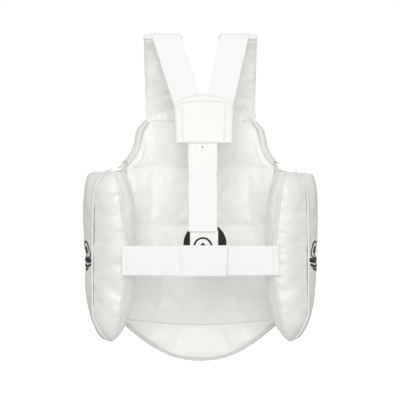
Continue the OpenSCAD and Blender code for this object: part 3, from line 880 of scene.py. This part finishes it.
def wing_side_point(s, t, out):
    y, z = side_point(s, t)
    plan = read(PLAN_OUT if out else PLAN_IN, y)
    if s <= 0 or s >= 1 or t <= 0 or t >= 1:
        x = plan if 0 < t < 1 and s <= 0 else wing_edge(s, t, out)
    else:
        h = abs(2 * t - 1)
        frame_x = mix(wing_edge(s, 0.0, out), wing_edge(s, 1.0, out), t)
        bulge = plan - mix(wing_edge(s, 0.0, out), wing_edge(s, 1.0, out), 0.5)
        if not out:
            profile = (1 - h ** 3) ** 0.83
        elif t > 0.5:
            profile = (1 - h ** 4) ** 0.25
        else:
            profile = (1 - h ** 4) ** 0.62
        x = frame_x + bulge * profile
        rear_x = read(REAR_OUT if out else REAR_IN, SIDE_REAR(t).y)
        x = mix(x, rear_x, smooth(0.86, 1.0, s))
    if s <= 0:
        x = 144.1 if out else 133.8
        y = 88.2 if out else 80.4
    # the outer side is cut lower than the inner one towards the side seam, and the belt pulls the inner
    # piping further back than the outer one
    if out:
        z -= 11 * smooth(-20, 88, y) * smooth(-40, 50, z)
        y += 20 * smooth(0, 80, -y) * (1 - 0.45 * smooth(0.5, 1.0, abs(z + 97) / 145))
    return Vector((x, y, z)) * MM


def wing_gusset_point(w, v):
    """Gusset between the pipings: w runs along the top, down the rear and along the bottom, v across."""
    total = 2 * WING_S + WING_T
    step = w * total
    if step <= WING_S:
        s, t = step / WING_S, 1.0
    elif step <= WING_S + WING_T:
        s, t = 1.0, 1 - (step - WING_S) / WING_T
    else:
        s, t = 1 - (step - WING_S - WING_T) / WING_S, 0.0
    inner, outer = wing_side_point(s, t, False), wing_side_point(s, t, True)
    p = inner.lerp(outer, v)
    width = (outer - inner).length
    rise = min(0.13 * width, 6 * MM) * (1 - (2 * v - 1) ** 2)
    y, z = side_point(s, t)
    outwards = Vector((0, y - 10, z + 95)).normalized() if not (s >= 1 and -195 < z < 20) else Vector((0, -1, 0))
    return p + rise * outwards


def make_wing(side, seed):
    word = "right" if side > 0 else "left"
    flip = Vector((side, 1, 1))
    bm = bmesh.new()
    laid_grid(bm, WING_S, WING_T, lambda s, t: wing_side_point(s, t, True) * flip, (0.2, 0.29), 0)
    laid_grid(bm, WING_S, WING_T, lambda s, t: wing_side_point(s, t, False) * flip, (0.2, 0.29), 1)
    laid_grid(bm, 2 * WING_S + WING_T, 8, lambda w, v: wing_gusset_point(w, v) * flip, (0.69, 0.05), 2)
    laid_grid(bm, 4, WING_T, lambda u, t: wing_side_point(0, t, False).lerp(wing_side_point(0, t, True), u) * flip,
              (0.02, 0.29), 3)
    weld(bm)
    form = new_object("wing_form_" + word, bm)
    both = {i for f in form.data.polygons if f.material_index == 3 for i in f.vertices}
    seen = {}
    for f in form.data.polygons:
        for i in f.vertices:
            seen.setdefault(i, set()).add(f.material_index)
    sewn = both | {i for i, kinds in seen.items() if len(kinds) > 1}
    inflate(form, hold_set(form, sewn), 4.0, 0.02, 7 * MM)

    def side_creases(co):
        rear = math.exp(-abs(co.y + 80 * MM) / (26 * MM))
        free = smooth(0, 45 * MM, 84 * MM - co.y)
        pull = crumple(Vector((0.2 * co.x, 0.3 * co.y, co.z)), 17 * MM, seed)
        return free * (1.5 * MM * crumple(co, 48 * MM, seed) + 0.9 * MM * rear * pull
                       + 0.35 * MM * crumple(co, 16 * MM, seed + 1))

    def gusset_creases(co):
        inwards = 1 - smooth(130 * MM, 160 * MM, abs(co.x))
        slant = crumple(Vector((0.5 * co.x, 0.3 * co.y, co.z + 0.55 * abs(co.x))), 10 * MM, seed + 6)
        pull = crumple(Vector((0.22 * co.x, 0.3 * co.y, co.z)), 15 * MM, seed + 2)
        free = smooth(0, 70 * MM, 84 * MM - co.y)
        return free * (1.5 * inwards * slant + 1.2 * pull + 1.0 * crumple(co, 34 * MM, seed + 3)) * MM

    def swing(obj):
        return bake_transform(obj)

    # Outer side and gusset wear the greyer wing vinyl, which is painted shade; the inner side wears the lighter
    # lining vinyl, which is painted light
    outer = sheath(form, "wing_outer_side_" + word, (0,), height=side_creases)
    print_on(outer, side, word, swing)
    swing(finish_piece(outer, wing_vinyl_painted_shade, nodes=["wing_outer_cover_" + word]))
    swing(finish_piece(sheath(form, "wing_inner_side_" + word, (1,), height=side_creases), lining_vinyl_painted_light,
                       nodes=["wing_inner_cover_" + word]))
    swing(finish_piece(sheath(form, "wing_gusset_strip_" + word, (2, 3), height=gusset_creases), wing_vinyl_painted_shade,
                       nodes=["wing_gusset_" + word]))
    core = part_of(form, "wing_foam_core_" + word, (0, 1, 2, 3))
    core.vertex_groups.clear()
    wrinkle(core, lambda co: -2.6 * MM)
    swing(finish_piece(core, foam_stuff, nodes=["wing_foam_" + word]))
    for out, kind in ((True, "outer"), (False, "inner")):
        path = [wing_side_point(k / 40, 1.0, out) * flip for k in range(8, 40)]
        path += [wing_side_point(1.0, 1 - k / 90, out) * flip for k in range(91)]
        for p in path:
            p += Vector((side * (0.6 if out else -0.6), -1.1 if p.y < -50 * MM else 0.0, 0)) * MM
        cord = swept("wing_%s_piping_run_%s" % (kind, word), path, [Vector((side, 0.3, 0.2))] * len(path),
                     1.7 * MM, 1.7 * MM, 10)
        wrinkle(cord, lambda co: 0.2 * MM * crumple(co, 6 * MM, seed + 5))
        swing(finish_piece(cord, piping_vinyl,
                           nodes=["wing_%s_piping_%s" % (kind, word)]))
    discard(form)


def print_on(cover, side, word, swing):
    """Emblem screen printed on the outer side: a ring over a barred shield, pressed to the cover."""
    skin = surface_of(cover)
    centre = Vector((0, -33 * MM, -97 * MM))

    def pressed(y, z):
        hit = skin.ray_cast(Vector((side * 0.3, centre.y + y, centre.z + z)), Vector((-side, 0, 0)))
        point = hit[0] if hit[0] is not None else Vector((side * 0.2, centre.y + y, centre.z + z))
        return point + Vector((side * 0.35 * MM, 0, 0))

    bm = bmesh.new()
    ring = lambda r0, r1, z0: (lambda u, v: pressed(mix(r0, r1, v) * MM * math.cos(2 * math.pi * u),
                                                    z0 * MM + mix(r0, r1, v) * MM * math.sin(2 * math.pi * u)))
    laid_grid(bm, 48, 2, ring(12.5, 15.5, 12))
    laid_grid(bm, 40, 3, ring(0.4, 6.5, 12))
    for z0, half, thick in ((-8, 24, 7.5), (-17, 18, 4), (-23, 11, 3.5)):
        for hand in (-1, 1):
            laid_grid(bm, 14, 3, lambda u, v: pressed(hand * mix(0.0, half, u) * MM,
                                                      (z0 + 4.0 * u + mix(-0.5, 0.5, v) * thick) * MM))
    weld(bm)
    film = new_object("side_emblem_print_" + word, bm)
    walled(film, 0.3 * MM, 0.0)
    swing(finish_piece(film, ink_stuff, nodes=["side_emblem_" + word]))


make_wing(1, 11.0)
make_wing(-1, 23.0)


def stitches(name, lines, body=None, step=3.6 * MM, length=2.4 * MM):
    """Rows of thread along lines, each a list of points a little above the cloth."""
    bm = bmesh.new()
    for line in lines:
        marks = even([tuple(p / MM) for p in line])
        total = sum((b - a).length for a, b in zip(line, line[1:]))
        for k in range(int(total / step)):
            a = marks((k + 0.5) * step / total - 0.5 * length / total) * MM
            b = marks((k + 0.5) * step / total + 0.5 * length / total) * MM
            new = bmesh.ops.create_cone(bm, cap_ends=True, segments=6, radius1=0.32 * MM, radius2=0.32 * MM,
                                        depth=length)["verts"]
            turn = (b - a).to_track_quat("Z", "Y").to_matrix()
            bmesh.ops.rotate(bm, verts=new, matrix=turn)
            bmesh.ops.translate(bm, verts=new, vec=(a + b) / 2)
    obj = new_object(name, bm)
    finish_piece(obj, thread_painted_shade, body)
    return obj


# ---- shoulder yokes ----

YOKE_BASE = Vector((YOKE_SEAM.y - YOKE_T / 2, YOKE_SEAM.z + 0.2 * MM))
HEM_CENTRE = Vector((HEM_Y, HEM_Z))
YOKE_KNEE = Vector((YOKE_BASE.x, mix(YOKE_BASE.y, HEM_CENTRE.y, 0.58)))


def yoke_line(t, d):
    """Y and Z of a yoke's side view: t from its base to the hem, d out from its middle."""
    p = (1 - t) ** 2 * YOKE_BASE + 2 * t * (1 - t) * YOKE_KNEE + t * t * HEM_CENTRE
    run = ((1 - t) * (YOKE_KNEE - YOKE_BASE) + t * (HEM_CENTRE - YOKE_KNEE)).normalized()
    return p + d * Vector((run.y, -run.x))


def panel_y(x, depth):
    return beside(reach(x, depth), depth, CHEST_TOP).y


def make_yoke(side, seed):
    word = "right" if side > 0 else "left"
    wide = YOKE_OUT - NECK_HALF
    base_y = [(x, panel_y(x, 9 * MM)) for x in [NECK_HALF - 4 * MM + k * (wide + 8 * MM) / 16 for k in range(17)]]

    def layer(inside):
        def place(u, v):
            edge = dome(min(u, 1 - u) * wide, 9 * MM) * dome(v * YOKE_LONG + 4 * MM, 22 * MM) * dome(
                (1 - v) * YOKE_LONG + 6 * MM, 14 * MM)
            half = mix(1.4 * MM, YOKE_T / 2 + 0.6 * MM, edge)
            # the sewn ends draw the sides in a little
            waist = 1.2 * MM * math.sin(math.pi * v) - 0.8 * MM
            x = mix(NECK_HALF + 1.2 * MM - waist, YOKE_OUT - 1.2 * MM + waist, u)
            gather = math.exp(-v * YOKE_LONG / (17 * MM)) * math.sin(2 * math.pi * u * 6.5 + 1.3 * math.sin(9 * u + seed))
            d = (-half if inside else half) + (1.1 * MM * gather * smooth(0, 0.06, v) * smooth(0, 0.1, min(u, 1 - u)))
            y, z = yoke_line(mix(-0.035, 0.985, v), d)
            # the base is sewn along the curve of the panel
            y += (table(base_y, x) - YOKE_BASE.x) * (1 - smooth(0.0, 0.55, v))
            return Vector((side * x, y, z))
        return place

    form = cushion_mesh("yoke_form_" + word, 22, 46, layer, (wide, YOKE_LONG),
                        ((3 * MM, YOKE_LONG), (wide, 3 * MM)))
    stitch_x = [NECK_HALF + 5 * MM, YOKE_OUT - 5 * MM]
    sewn = sewn_vertices(form, lambda co: min(abs(abs(co.x) - x) for x in stitch_x) < 1.7 * MM)
    inflate(form, hold_set(form, sewn), 2.5, 0.025, 4 * MM)

    def creases(co):
        low = math.exp(-(co.z - YOKE_BASE.y) / (34 * MM))
        sag = crumple(Vector((0.45 * co.x, co.y, co.z)), 15 * MM, seed)
        fold = crumple(Vector((0.35 * co.x, 0.5 * co.y, co.z + 0.35 * side * co.x)), 11 * MM, seed + 4)
        return (2.2 * MM * low * sag + 2.4 * MM * low * fold + 1.0 * MM * crumple(co, 30 * MM, seed + 1)
                + 0.25 * MM * crumple(co, 9 * MM, seed))

    def hang(obj):
        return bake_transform(obj)

    pad = sheath(form, "yoke_lining_pad_" + word, (0,), height=creases)
    face = surface_of(pad)

    def on_pad(x, t):
        y, z = yoke_line(t, -20 * MM)
        end_y, end_z = yoke_line(t, 0)
        ray = Vector((0, end_y - y, end_z - z)).normalized()
        hit = face.ray_cast(Vector((side * x, y, z)), ray)[0]
        return (hit if hit else Vector((side * x, end_y, end_z))) - 0.15 * MM * ray

    hang(stitches("yoke_thread_" + word, [[on_pad(x, mix(0.05, 0.93, k / 24)) for k in range(25)] for x in stitch_x]))
    hang(finish_piece(pad, lining_vinyl_painted_light, nodes=["yoke_lining_" + word]))
    hang(finish_piece(sheath(form, "yoke_cover_pad_" + word, (1, 2), height=creases), cover_vinyl,
                      nodes=["yoke_cover_" + word]))
    core = part_of(form, "yoke_foam_core_" + word, (0, 1, 2))
    core.vertex_groups.clear()
    wrinkle(core, lambda co: -1.6 * MM)
    hang(finish_piece(core, foam_stuff, nodes=["yoke_foam_" + word]))
    discard(form)

    # Hem roll at the top, with its ends pinched where the cover is folded in
    path = [Vector((side * mix(NECK_HALF + 0.6 * MM, YOKE_OUT - 0.6 * MM, k / 40), HEM_Y, HEM_Z)) for k in range(41)]

    def roll(u, v):
        k = u * 40
        p = path[min(int(round(k)), 40)]
        end = dome(min(u, 1 - u) * wide, 5 * MM)
        r = HEM_R * mix(0.55, 1.0, end) * (1 + 0.06 * math.sin(u * 19 + seed))
        a = 2 * math.pi * v
        return p + Vector((0, r * math.cos(a), r * math.sin(a)))

    hem = solid_grid("yoke_hem_roll_" + word, 40, 18, roll, (wide, 0.03), wrap=True, cap=True)
    subdivided(hem, 1)
    wrinkle(hem, lambda co: 0.35 * MM * crumple(co, 6 * MM, seed + 3))
    finish_piece(hem, cover_vinyl, "yokes", ["yoke_hem_" + word])


make_yoke(1, 31.0)
make_yoke(-1, 37.0)


# ---- straps: flat woven tape laid along a path ----

def tape(name, place, cols, rows, size, thickness=WEB_T, edge=0.45 * MM):
    """Flat tape: a grid laid by place, walled to both sides, with its edges softened."""
    bm = bmesh.new()
    laid_grid(bm, cols, rows, place, size)
    weld(bm)
    obj = new_object(name, bm)
    walled(obj, thickness, 0.0)
    mod = obj.modifiers.new("Edge", "BEVEL")
    mod.width = edge
    mod.segments = 2
    mod.limit_method = "ANGLE"
    mod.angle_limit = math.radians(50)
    return apply_modifiers(obj)


HARNESS = JOINT["harness_lift"]
PLATE_END = JOINT["back_strap_lift"]
HARNESS_TILT = math.atan2(HARNESS.y - PLATE_END.y, HARNESS.z - PLATE_END.z)
PLATE_X = (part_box("plate_cover")[0][0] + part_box("plate_cover")[1][0]) / 2
PLATE_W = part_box("plate_cover")[1][0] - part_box("plate_cover")[0][0]
PLATE_LOW_W = 96 * MM
PLATE_HIGH, PLATE_ARCH, PLATE_LOW = 109 * MM, 17 * MM, 199 * MM
STRAP_END = 140 * MM
STRAP_X = 60 * MM
PLATE_LONG = 85 * MM
PLATE_LINES = (0.13, 0.87)


def on_harness(x, out, down):
    """Point of the harness: out towards its inside face, down along it from the hem."""
    s, c = math.sin(HARNESS_TILT), math.cos(HARNESS_TILT)
    return Vector((x, HARNESS.y + out * c - down * s, HARNESS.z - out * s - down * c))


def strap_route(down):
    """Y and Z of a shoulder strap's middle: round the front of the hem roll, over it, and down the harness."""
    if down >= 4 * MM:
        p = on_harness(0, 1.0 * MM, down)
        return p.y, p.z
    wrap = (4 * MM - down) / (HEM_R + 1.2 * MM)
    start = on_harness(0, 1.0 * MM, 4 * MM)
    a0 = math.atan2(start.z - HEM_Z, start.y - HEM_Y)
    r0 = math.hypot(start.z - HEM_Z, start.y - HEM_Y)
    r = mix(r0, HEM_R + 1.1 * MM, smooth(0, 0.5, wrap))
    return HEM_Y + r * math.cos(a0 - wrap), HEM_Z + r * math.sin(a0 - wrap)


def make_strap(side, seed):
    word = "right" if side > 0 else "left"
    lean = side * (STRAP_X - STRAP_W / 2 - 7 * MM) - PLATE_X
    end_x = PLATE_X + side * (STRAP_W / 2 + 1 * MM) - side * (STRAP_END - PLATE_HIGH - PLATE_ARCH) * 0.2
    half = STRAP_W / 2 / math.cos(math.atan(lean / STRAP_END)) - 0.6 * MM
    low = -19 * MM

    def place(u, v):
        down = mix(low, STRAP_END - 1 * MM, v)
        x = mix(side * STRAP_X, end_x, min(max(down / STRAP_END, -0.01), 1)) + (2 * u - 1) * half
        inner = PLATE_X + side * 0.4 * MM
        x = max(x, inner) if side > 0 else min(x, inner)
        y, z = strap_route(down)
        free = smooth(0, 25 * MM, down) * smooth(0, 30 * MM, PLATE_HIGH - down)
        cup = 1.3 * MM * (2 * u - 1) ** 2 * free
        wave = 0.7 * MM * free * noise.noise(Vector((u * 2, down / (32 * MM), seed)))
        return Vector((x, y + cup + wave, z))

    strap = tape("shoulder_strap_web_" + word, place, 14, 70, (STRAP_W, STRAP_END - low))
    finish_piece(strap, elastic, nodes=["shoulder_strap_" + word])
    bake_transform(strap)
    return strap


make_strap(1, 41.0)
make_strap(-1, 43.0)


def plate_point(u, v, out):
    """Point of the plate: u across, v from its bottom edge to its arched top."""
    k = 2 * u - 1
    top = PLATE_HIGH + PLATE_ARCH * abs(k) ** 1.7 + 0.6 * MM
    down = mix(PLATE_LOW - 0.4 * MM, top, v)
    half = mix(PLATE_LOW_W, PLATE_W, min((PLATE_LOW - down) / (PLATE_LOW - PLATE_HIGH - PLATE_ARCH), 1)) / 2
    return on_harness(PLATE_X + k * (half - 0.4 * MM), out, down)


def arch_seam(u):
    """How far up the plate the seam below its arch runs."""
    return 0.90 - 0.035 * math.cos(math.pi * (2 * u - 1))


def plate_sheet(name, node, out, swell, seed):
    def place(u, v):
        rim = dome(min(u, 1 - u) * PLATE_W, 7 * MM) * dome(min(v, 1 - v) * PLATE_LONG, 7 * MM)
        seam = abs(v - arch_seam(u))
        groove = 1 - 0.75 * math.exp(-(seam * PLATE_LONG / (1.7 * MM)) ** 2)
        side_line = min(abs(u - line) for line in PLATE_LINES) * PLATE_W
        groove *= 1 - 0.45 * math.exp(-(side_line / (1.4 * MM)) ** 2)
        wave = 0.35 * MM * noise.noise(Vector((u * 3, v * 3, seed)))
        return plate_point(u, v, out + swell * rim * groove + wave * rim)

    obj = tape(name, place, 56, 48, (PLATE_W, 0.09), 1.3 * MM, 0.35 * MM)
    finish_piece(obj, cover_vinyl, "harness", [node])
    return obj


plate = plate_sheet("plate_cover_padded", "plate_cover", -0.9 * MM, -2.6 * MM, 51.0)
plate_sheet("plate_backing_padded", "plate_backing", 2.7 * MM, 0.8 * MM, 52.0)
stiffener = tape("plate_stiffener_board", lambda u, v: plate_point(mix(0.03, 0.97, u), mix(0.03, 0.60, v), 0.9 * MM),
                 20, 16, (PLATE_W, 0.05), 1.4 * MM)
finish_piece(stiffener, foam_stuff, "harness", ["plate_stiffener"])


# ---- back strap ----

ANCHOR_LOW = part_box("back_strap_anchor")[0][2]
STRAP_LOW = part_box("back_strap_elastic")[0][2]
BACK_X = (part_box("back_strap_elastic")[0][0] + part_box("back_strap_elastic")[1][0]) / 2
BACK_HEM_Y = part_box("back_strap_elastic")[0][1] + 0.9 * MM
BACK_LOW = Vector((0, BACK_HEM_Y, STRAP_LOW + 0.8 * MM))
BACK_TOP = Vector((0, PLATE_END.y + 0.9 * MM, PLATE_END.z))
BACK_RUN = BACK_LOW - BACK_TOP
BACK_LEN = BACK_RUN.length
BACK_DIR = BACK_RUN.normalized()
BACK_IN = Vector((0, -BACK_DIR.z, BACK_DIR.y))


def bend_back(obj):
    """Bake the transform of a piece from the harness to the back strap, just below the plate, into its mesh."""
    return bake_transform(obj)


def back_strap(name, node, material, low, high, half, thick, lift, wave):
    def place(u, v):
        down = mix(low, high, v)
        near_hem = smooth(BACK_LEN - 22 * MM, BACK_LEN, down)
        out = lift + wave * noise.noise(Vector((2.2 * u, down / (30 * MM), 3.0)))
        p = BACK_TOP + down * BACK_DIR + BACK_IN * (out + 3.2 * MM * near_hem)
        return Vector((BACK_X + (2 * u - 1) * (half + 0.3 * MM * math.sin(down / (11 * MM))), p.y, p.z))

    obj = tape(name, place, 14, 40, (2 * half, high - low), thick)
    return bend_back(finish_piece(obj, material, nodes=[node]))


ANCHOR_LEN = (PLATE_END.z - ANCHOR_LOW) / -BACK_DIR.z
back_strap("back_strap_anchor_sleeve", "back_strap_anchor", cover_vinyl, -6 * MM, ANCHOR_LEN,
           STRAP_W / 2 - 0.3 * MM, 2.6 * MM, 0.2 * MM, 0.5 * MM)
back_strap("back_strap_web", "back_strap_elastic", elastic, ANCHOR_LEN - 6 * MM, BACK_LEN,
           STRAP_W / 2 - 1.2 * MM, WEB_T, 0.1 * MM, 0.5 * MM)
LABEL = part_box("size_label")


def label_place(u, v):
    down = mix(0.6 * MM, 11.2 * MM, v)
    p = BACK_TOP + down * BACK_DIR - BACK_IN * (1.6 * MM + 0.8 * MM * math.sin(math.pi * v) * (0.4 + 0.6 * u))
    return Vector((mix(LABEL[0][0], LABEL[1][0], u), p.y, p.z))


def bar_place(u, v):
    return label_place(mix(0.40, 0.50, u), mix(0.35, 0.75, v)) - Vector((0, 0.35 * MM, 0))


bar = tape("size_label_bar", bar_place, 4, 6, (2 * MM, 4 * MM), 0.2 * MM, 0.05 * MM)
bend_back(finish_piece(bar, ink_stuff))
label = tape("size_label_blank", label_place, 10, 8, (14 * MM, 10 * MM), 0.3 * MM, 0.1 * MM)
bend_back(finish_piece(label, label_stuff, nodes=["size_label"]))


plate_face = surface_of(plate)


def on_plate(u, v):
    """Point just above the face of the plate."""
    start = plate_point(u, v, -20 * MM)
    hit = plate_face.ray_cast(start, (plate_point(u, v, 0.0) - start).normalized())
    return hit[0] - 0.15 * MM * (plate_point(u, v, 0.0) - start).normalized() if hit[0] else start


stitches("plate_thread", [
    *[[on_plate(line, k / 12) for k in range(11)] for line in PLATE_LINES],
    [on_plate(k / 14, 0.03) for k in range(1, 14)],
    [on_plate(k / 20, arch_seam(k / 20)) for k in range(1, 20)],
], "harness")


# ---- waist belt ----

def belt_tape(name, node, x_from, x_to, y, half, thick, seed, tilt=0.0, material=elastic,
              edge=0.45 * MM, low_cut=0.0):
    def place(u, v):
        x = mix(x_from, x_to, u) + low_cut * (0.5 - v)
        t = abs(x) / (126 * MM)
        wave = 0.5 * MM * noise.noise(Vector((x / (40 * MM), v * 1.5, seed)))
        return Vector((x, y + wave * (1 - t ** 4), BELT_Z + (2 * v - 1) * half + tilt * x))

    obj = tape(name, place, max(int(abs(x_to - x_from) / (3.5 * MM)), 6), 14, (abs(x_to - x_from), 2 * half), thick,
               edge)
    return finish_piece(obj, material, nodes=[node])


def mid_y(node):
    low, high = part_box(node)
    return (low[1] + high[1]) / 2


right_web = belt_tape("belt_web_right", "belt_elastic_right", BELT_R[0][0], BELT_R[1][0] + 5 * MM,
                      mid_y("belt_elastic_right"), BELT_W / 2 - 0.4 * MM, WEB_T, 61.0, low_cut=3 * MM)
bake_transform(right_web)
left_web = belt_tape("belt_web_left", "belt_elastic_left", BELT_L[0][0] - 5 * MM, BELT_L[1][0] + 0.2 * MM,
                     mid_y("belt_elastic_left"), BELT_W / 2 - 0.4 * MM, WEB_T, 62.0)
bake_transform(left_web)


def peel(obj):
    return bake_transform(obj)


peel(belt_tape("closure_flap_web", "closure_flap", FLAP[0][0] - 1.5 * MM, FLAP[1][0],
               mid_y("closure_flap") - 0.5 * MM, BELT_W / 2 + 0.6 * MM, 2.0 * MM, 63.0, low_cut=-3 * MM))
HOOK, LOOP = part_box("hook_pad"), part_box("loop_pad")
peel(belt_tape("hook_pad_pile", "hook_pad", HOOK[0][0], HOOK[1][0], mid_y("hook_pad"), BELT_W / 2 - 3 * MM, 0.9 * MM,
               63.0, material=pile_stuff, edge=0.2 * MM))
loop = belt_tape("loop_pad_pile", "loop_pad", LOOP[0][0], LOOP[1][0], mid_y("loop_pad"), BELT_W / 2 - 3 * MM,
                 0.9 * MM, 61.0, material=pile_stuff, edge=0.2 * MM)
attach(loop, "belt_right")



def seam_up(x, y, half, lean=0.0):
    """Straight line of seven points up the belt, leaning by lean to each side."""
    return [Vector((x + lean * (1 - k / 3), y, BELT_Z + mix(-half, half, k / 6))) for k in range(7)]


belt_out = mid_y("closure_flap") - 1.7 * MM
peel(stitches("closure_flap_thread", [
    seam_up(FLAP[0][0] + d, belt_out, 23 * MM, 1.5 * MM) for d in (1.5 * MM, 5.5 * MM)]))
for side, word, face in ((1, "right", mid_y("belt_elastic_right")), (-1, "left", mid_y("belt_elastic_left"))):
    x = side * BELT_R[1][0]
    thread = stitches("belt_end_thread_" + word, [
        seam_up(x - side * d, face - 1.0 * MM, 22 * MM) for d in (1.5 * MM, 5 * MM)])
    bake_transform(thread)

# Tab of the back strap, its printed mark and the round patch behind it
TAB, DISC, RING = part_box("strap_tab"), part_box("backing_disc"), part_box("ring_mark")
tab = tape("strap_tab_panel", lambda u, v: Vector((
    mix(TAB[0][0], TAB[1][0], u), mid_y("strap_tab") + 0.3 * MM * noise.noise(Vector((2 * u, 3 * v, 71.0))),
    mix(TAB[0][2], TAB[1][2], v))), 16, 24, (47 * MM, 72 * MM), 1.1 * MM)
finish_piece(tab, cover_vinyl, "belt_right", ["strap_tab"])
mark_face = RING[0][1] - 0.25 * MM
mark_at = Vector(((RING[0][0] + RING[1][0]) / 2, mark_face, (RING[0][2] + RING[1][2]) / 2))
ring_r = (RING[1][0] - RING[0][0]) / 2


def mark_spot(r, a):
    return mark_at + Vector((r * math.cos(a), 0, r * math.sin(a)))


bm = bmesh.new()
laid_grid(bm, 64, 2, lambda u, v: mark_spot(mix(ring_r - 3 * MM, ring_r, v), 2 * math.pi * u))
for corner in range(4):
    laid_grid(bm, 6, 6, lambda u, v: mark_at + Vector((
        7 * MM * (u * math.cos(corner * math.pi / 2) + v * (1 - u) * math.cos((corner + 1) * math.pi / 2)), 0,
        7 * MM * (u * math.sin(corner * math.pi / 2) + v * (1 - u) * math.sin((corner + 1) * math.pi / 2)))))
weld(bm)
mark = new_object("ring_mark_print", bm)
walled(mark, 0.3 * MM, 0.0)
finish_piece(mark, ink_stuff, "belt_right", ["ring_mark"])

disc_at = Vector(((DISC[0][0] + DISC[1][0]) / 2, mid_y("backing_disc"), (DISC[0][2] + DISC[1][2]) / 2))
disc_r = (DISC[1][0] - DISC[0][0]) / 2
bm = bmesh.new()
bmesh.ops.create_cone(bm, cap_ends=True, segments=96, radius1=disc_r, radius2=disc_r, depth=1.2 * MM)
bmesh.ops.rotate(bm, verts=bm.verts, matrix=Matrix.Rotation(math.pi / 2, 3, "X"))
bmesh.ops.translate(bm, verts=bm.verts, vec=disc_at)
bmesh.ops.bevel(bm, geom=[e for e in bm.edges if e.calc_face_angle(0) > 0.5], offset=0.4 * MM, segments=3,
                profile=0.5, affect="EDGES", material=-1)
disc = new_object("backing_disc_patch", bm)
finish_piece(disc, ink_stuff, "belt_right", ["backing_disc"])


# ---- floor, backdrop and lights ----

FLOOR_GAP = 60 * MM
bm = bmesh.new()
bmesh.ops.create_grid(bm, x_segments=4, y_segments=4, size=6.0)
bmesh.ops.translate(bm, verts=bm.verts, vec=(0, 0, cad_box[0][2] - FLOOR_GAP))
floor = new_object("studio_floor", bm)
floor_mat, tree = new_material("pale_seamless_floor")
output(tree, add_node(tree, "ShaderNodeBsdfPrincipled", {
    "Base Color": colour("#ffffff"), "Roughness": 0.9, "Specular IOR Level": 0.0,
    "Emission Color": colour("#ffffff"), "Emission Strength": 0.7}))
floor.data.materials.append(floor_mat)
floor.visible_diffuse = False
floor.visible_glossy = False

world = bpy.data.worlds.new("studio")
bpy.context.scene.world = world
world.use_nodes = True
world.node_tree.nodes["Background"].inputs["Color"].default_value = (1, 1, 1, 1)
world.node_tree.nodes["Background"].inputs["Strength"].default_value = 0.60

# Round white backdrop, which is only seen and lights nothing
bm = bmesh.new()
bmesh.ops.create_uvsphere(bm, u_segments=48, v_segments=24, radius=9.0)
bmesh.ops.reverse_faces(bm, faces=bm.faces)
backdrop = new_object("studio_backdrop", bm)
backdrop_mat, tree = new_material("white_lit_backdrop")
output(tree, add_node(tree, "ShaderNodeEmission", {"Color": colour("#ffffff"), "Strength": 1.0}))
backdrop.data.materials.append(backdrop_mat)
backdrop.visible_diffuse = False
backdrop.visible_glossy = False
backdrop.visible_transmission = False
backdrop.visible_shadow = False


def soft_light(name, place, size, watts):
    data = bpy.data.lights.new(name, "AREA")
    data.shape = "RECTANGLE"
    data.size, data.size_y = size
    data.energy = watts
    obj = bpy.data.objects.new(name, data)
    bpy.context.scene.collection.objects.link(obj)
    obj.location = place
    obj.rotation_euler = (-Vector(place)).to_track_quat("-Z", "Y").to_euler()
    return obj


soft_light("key_left", (-0.3, -2.4, 1.0), (1.0, 1.0), 19)
soft_light("key_right", (0.3, -2.5, 0.3), (1.0, 1.0), 15)
soft_light("front_fill", (0.4, 2.6, 1.4), (1.6, 1.2), 22)

bpy.context.scene.view_settings.view_transform = "Standard"
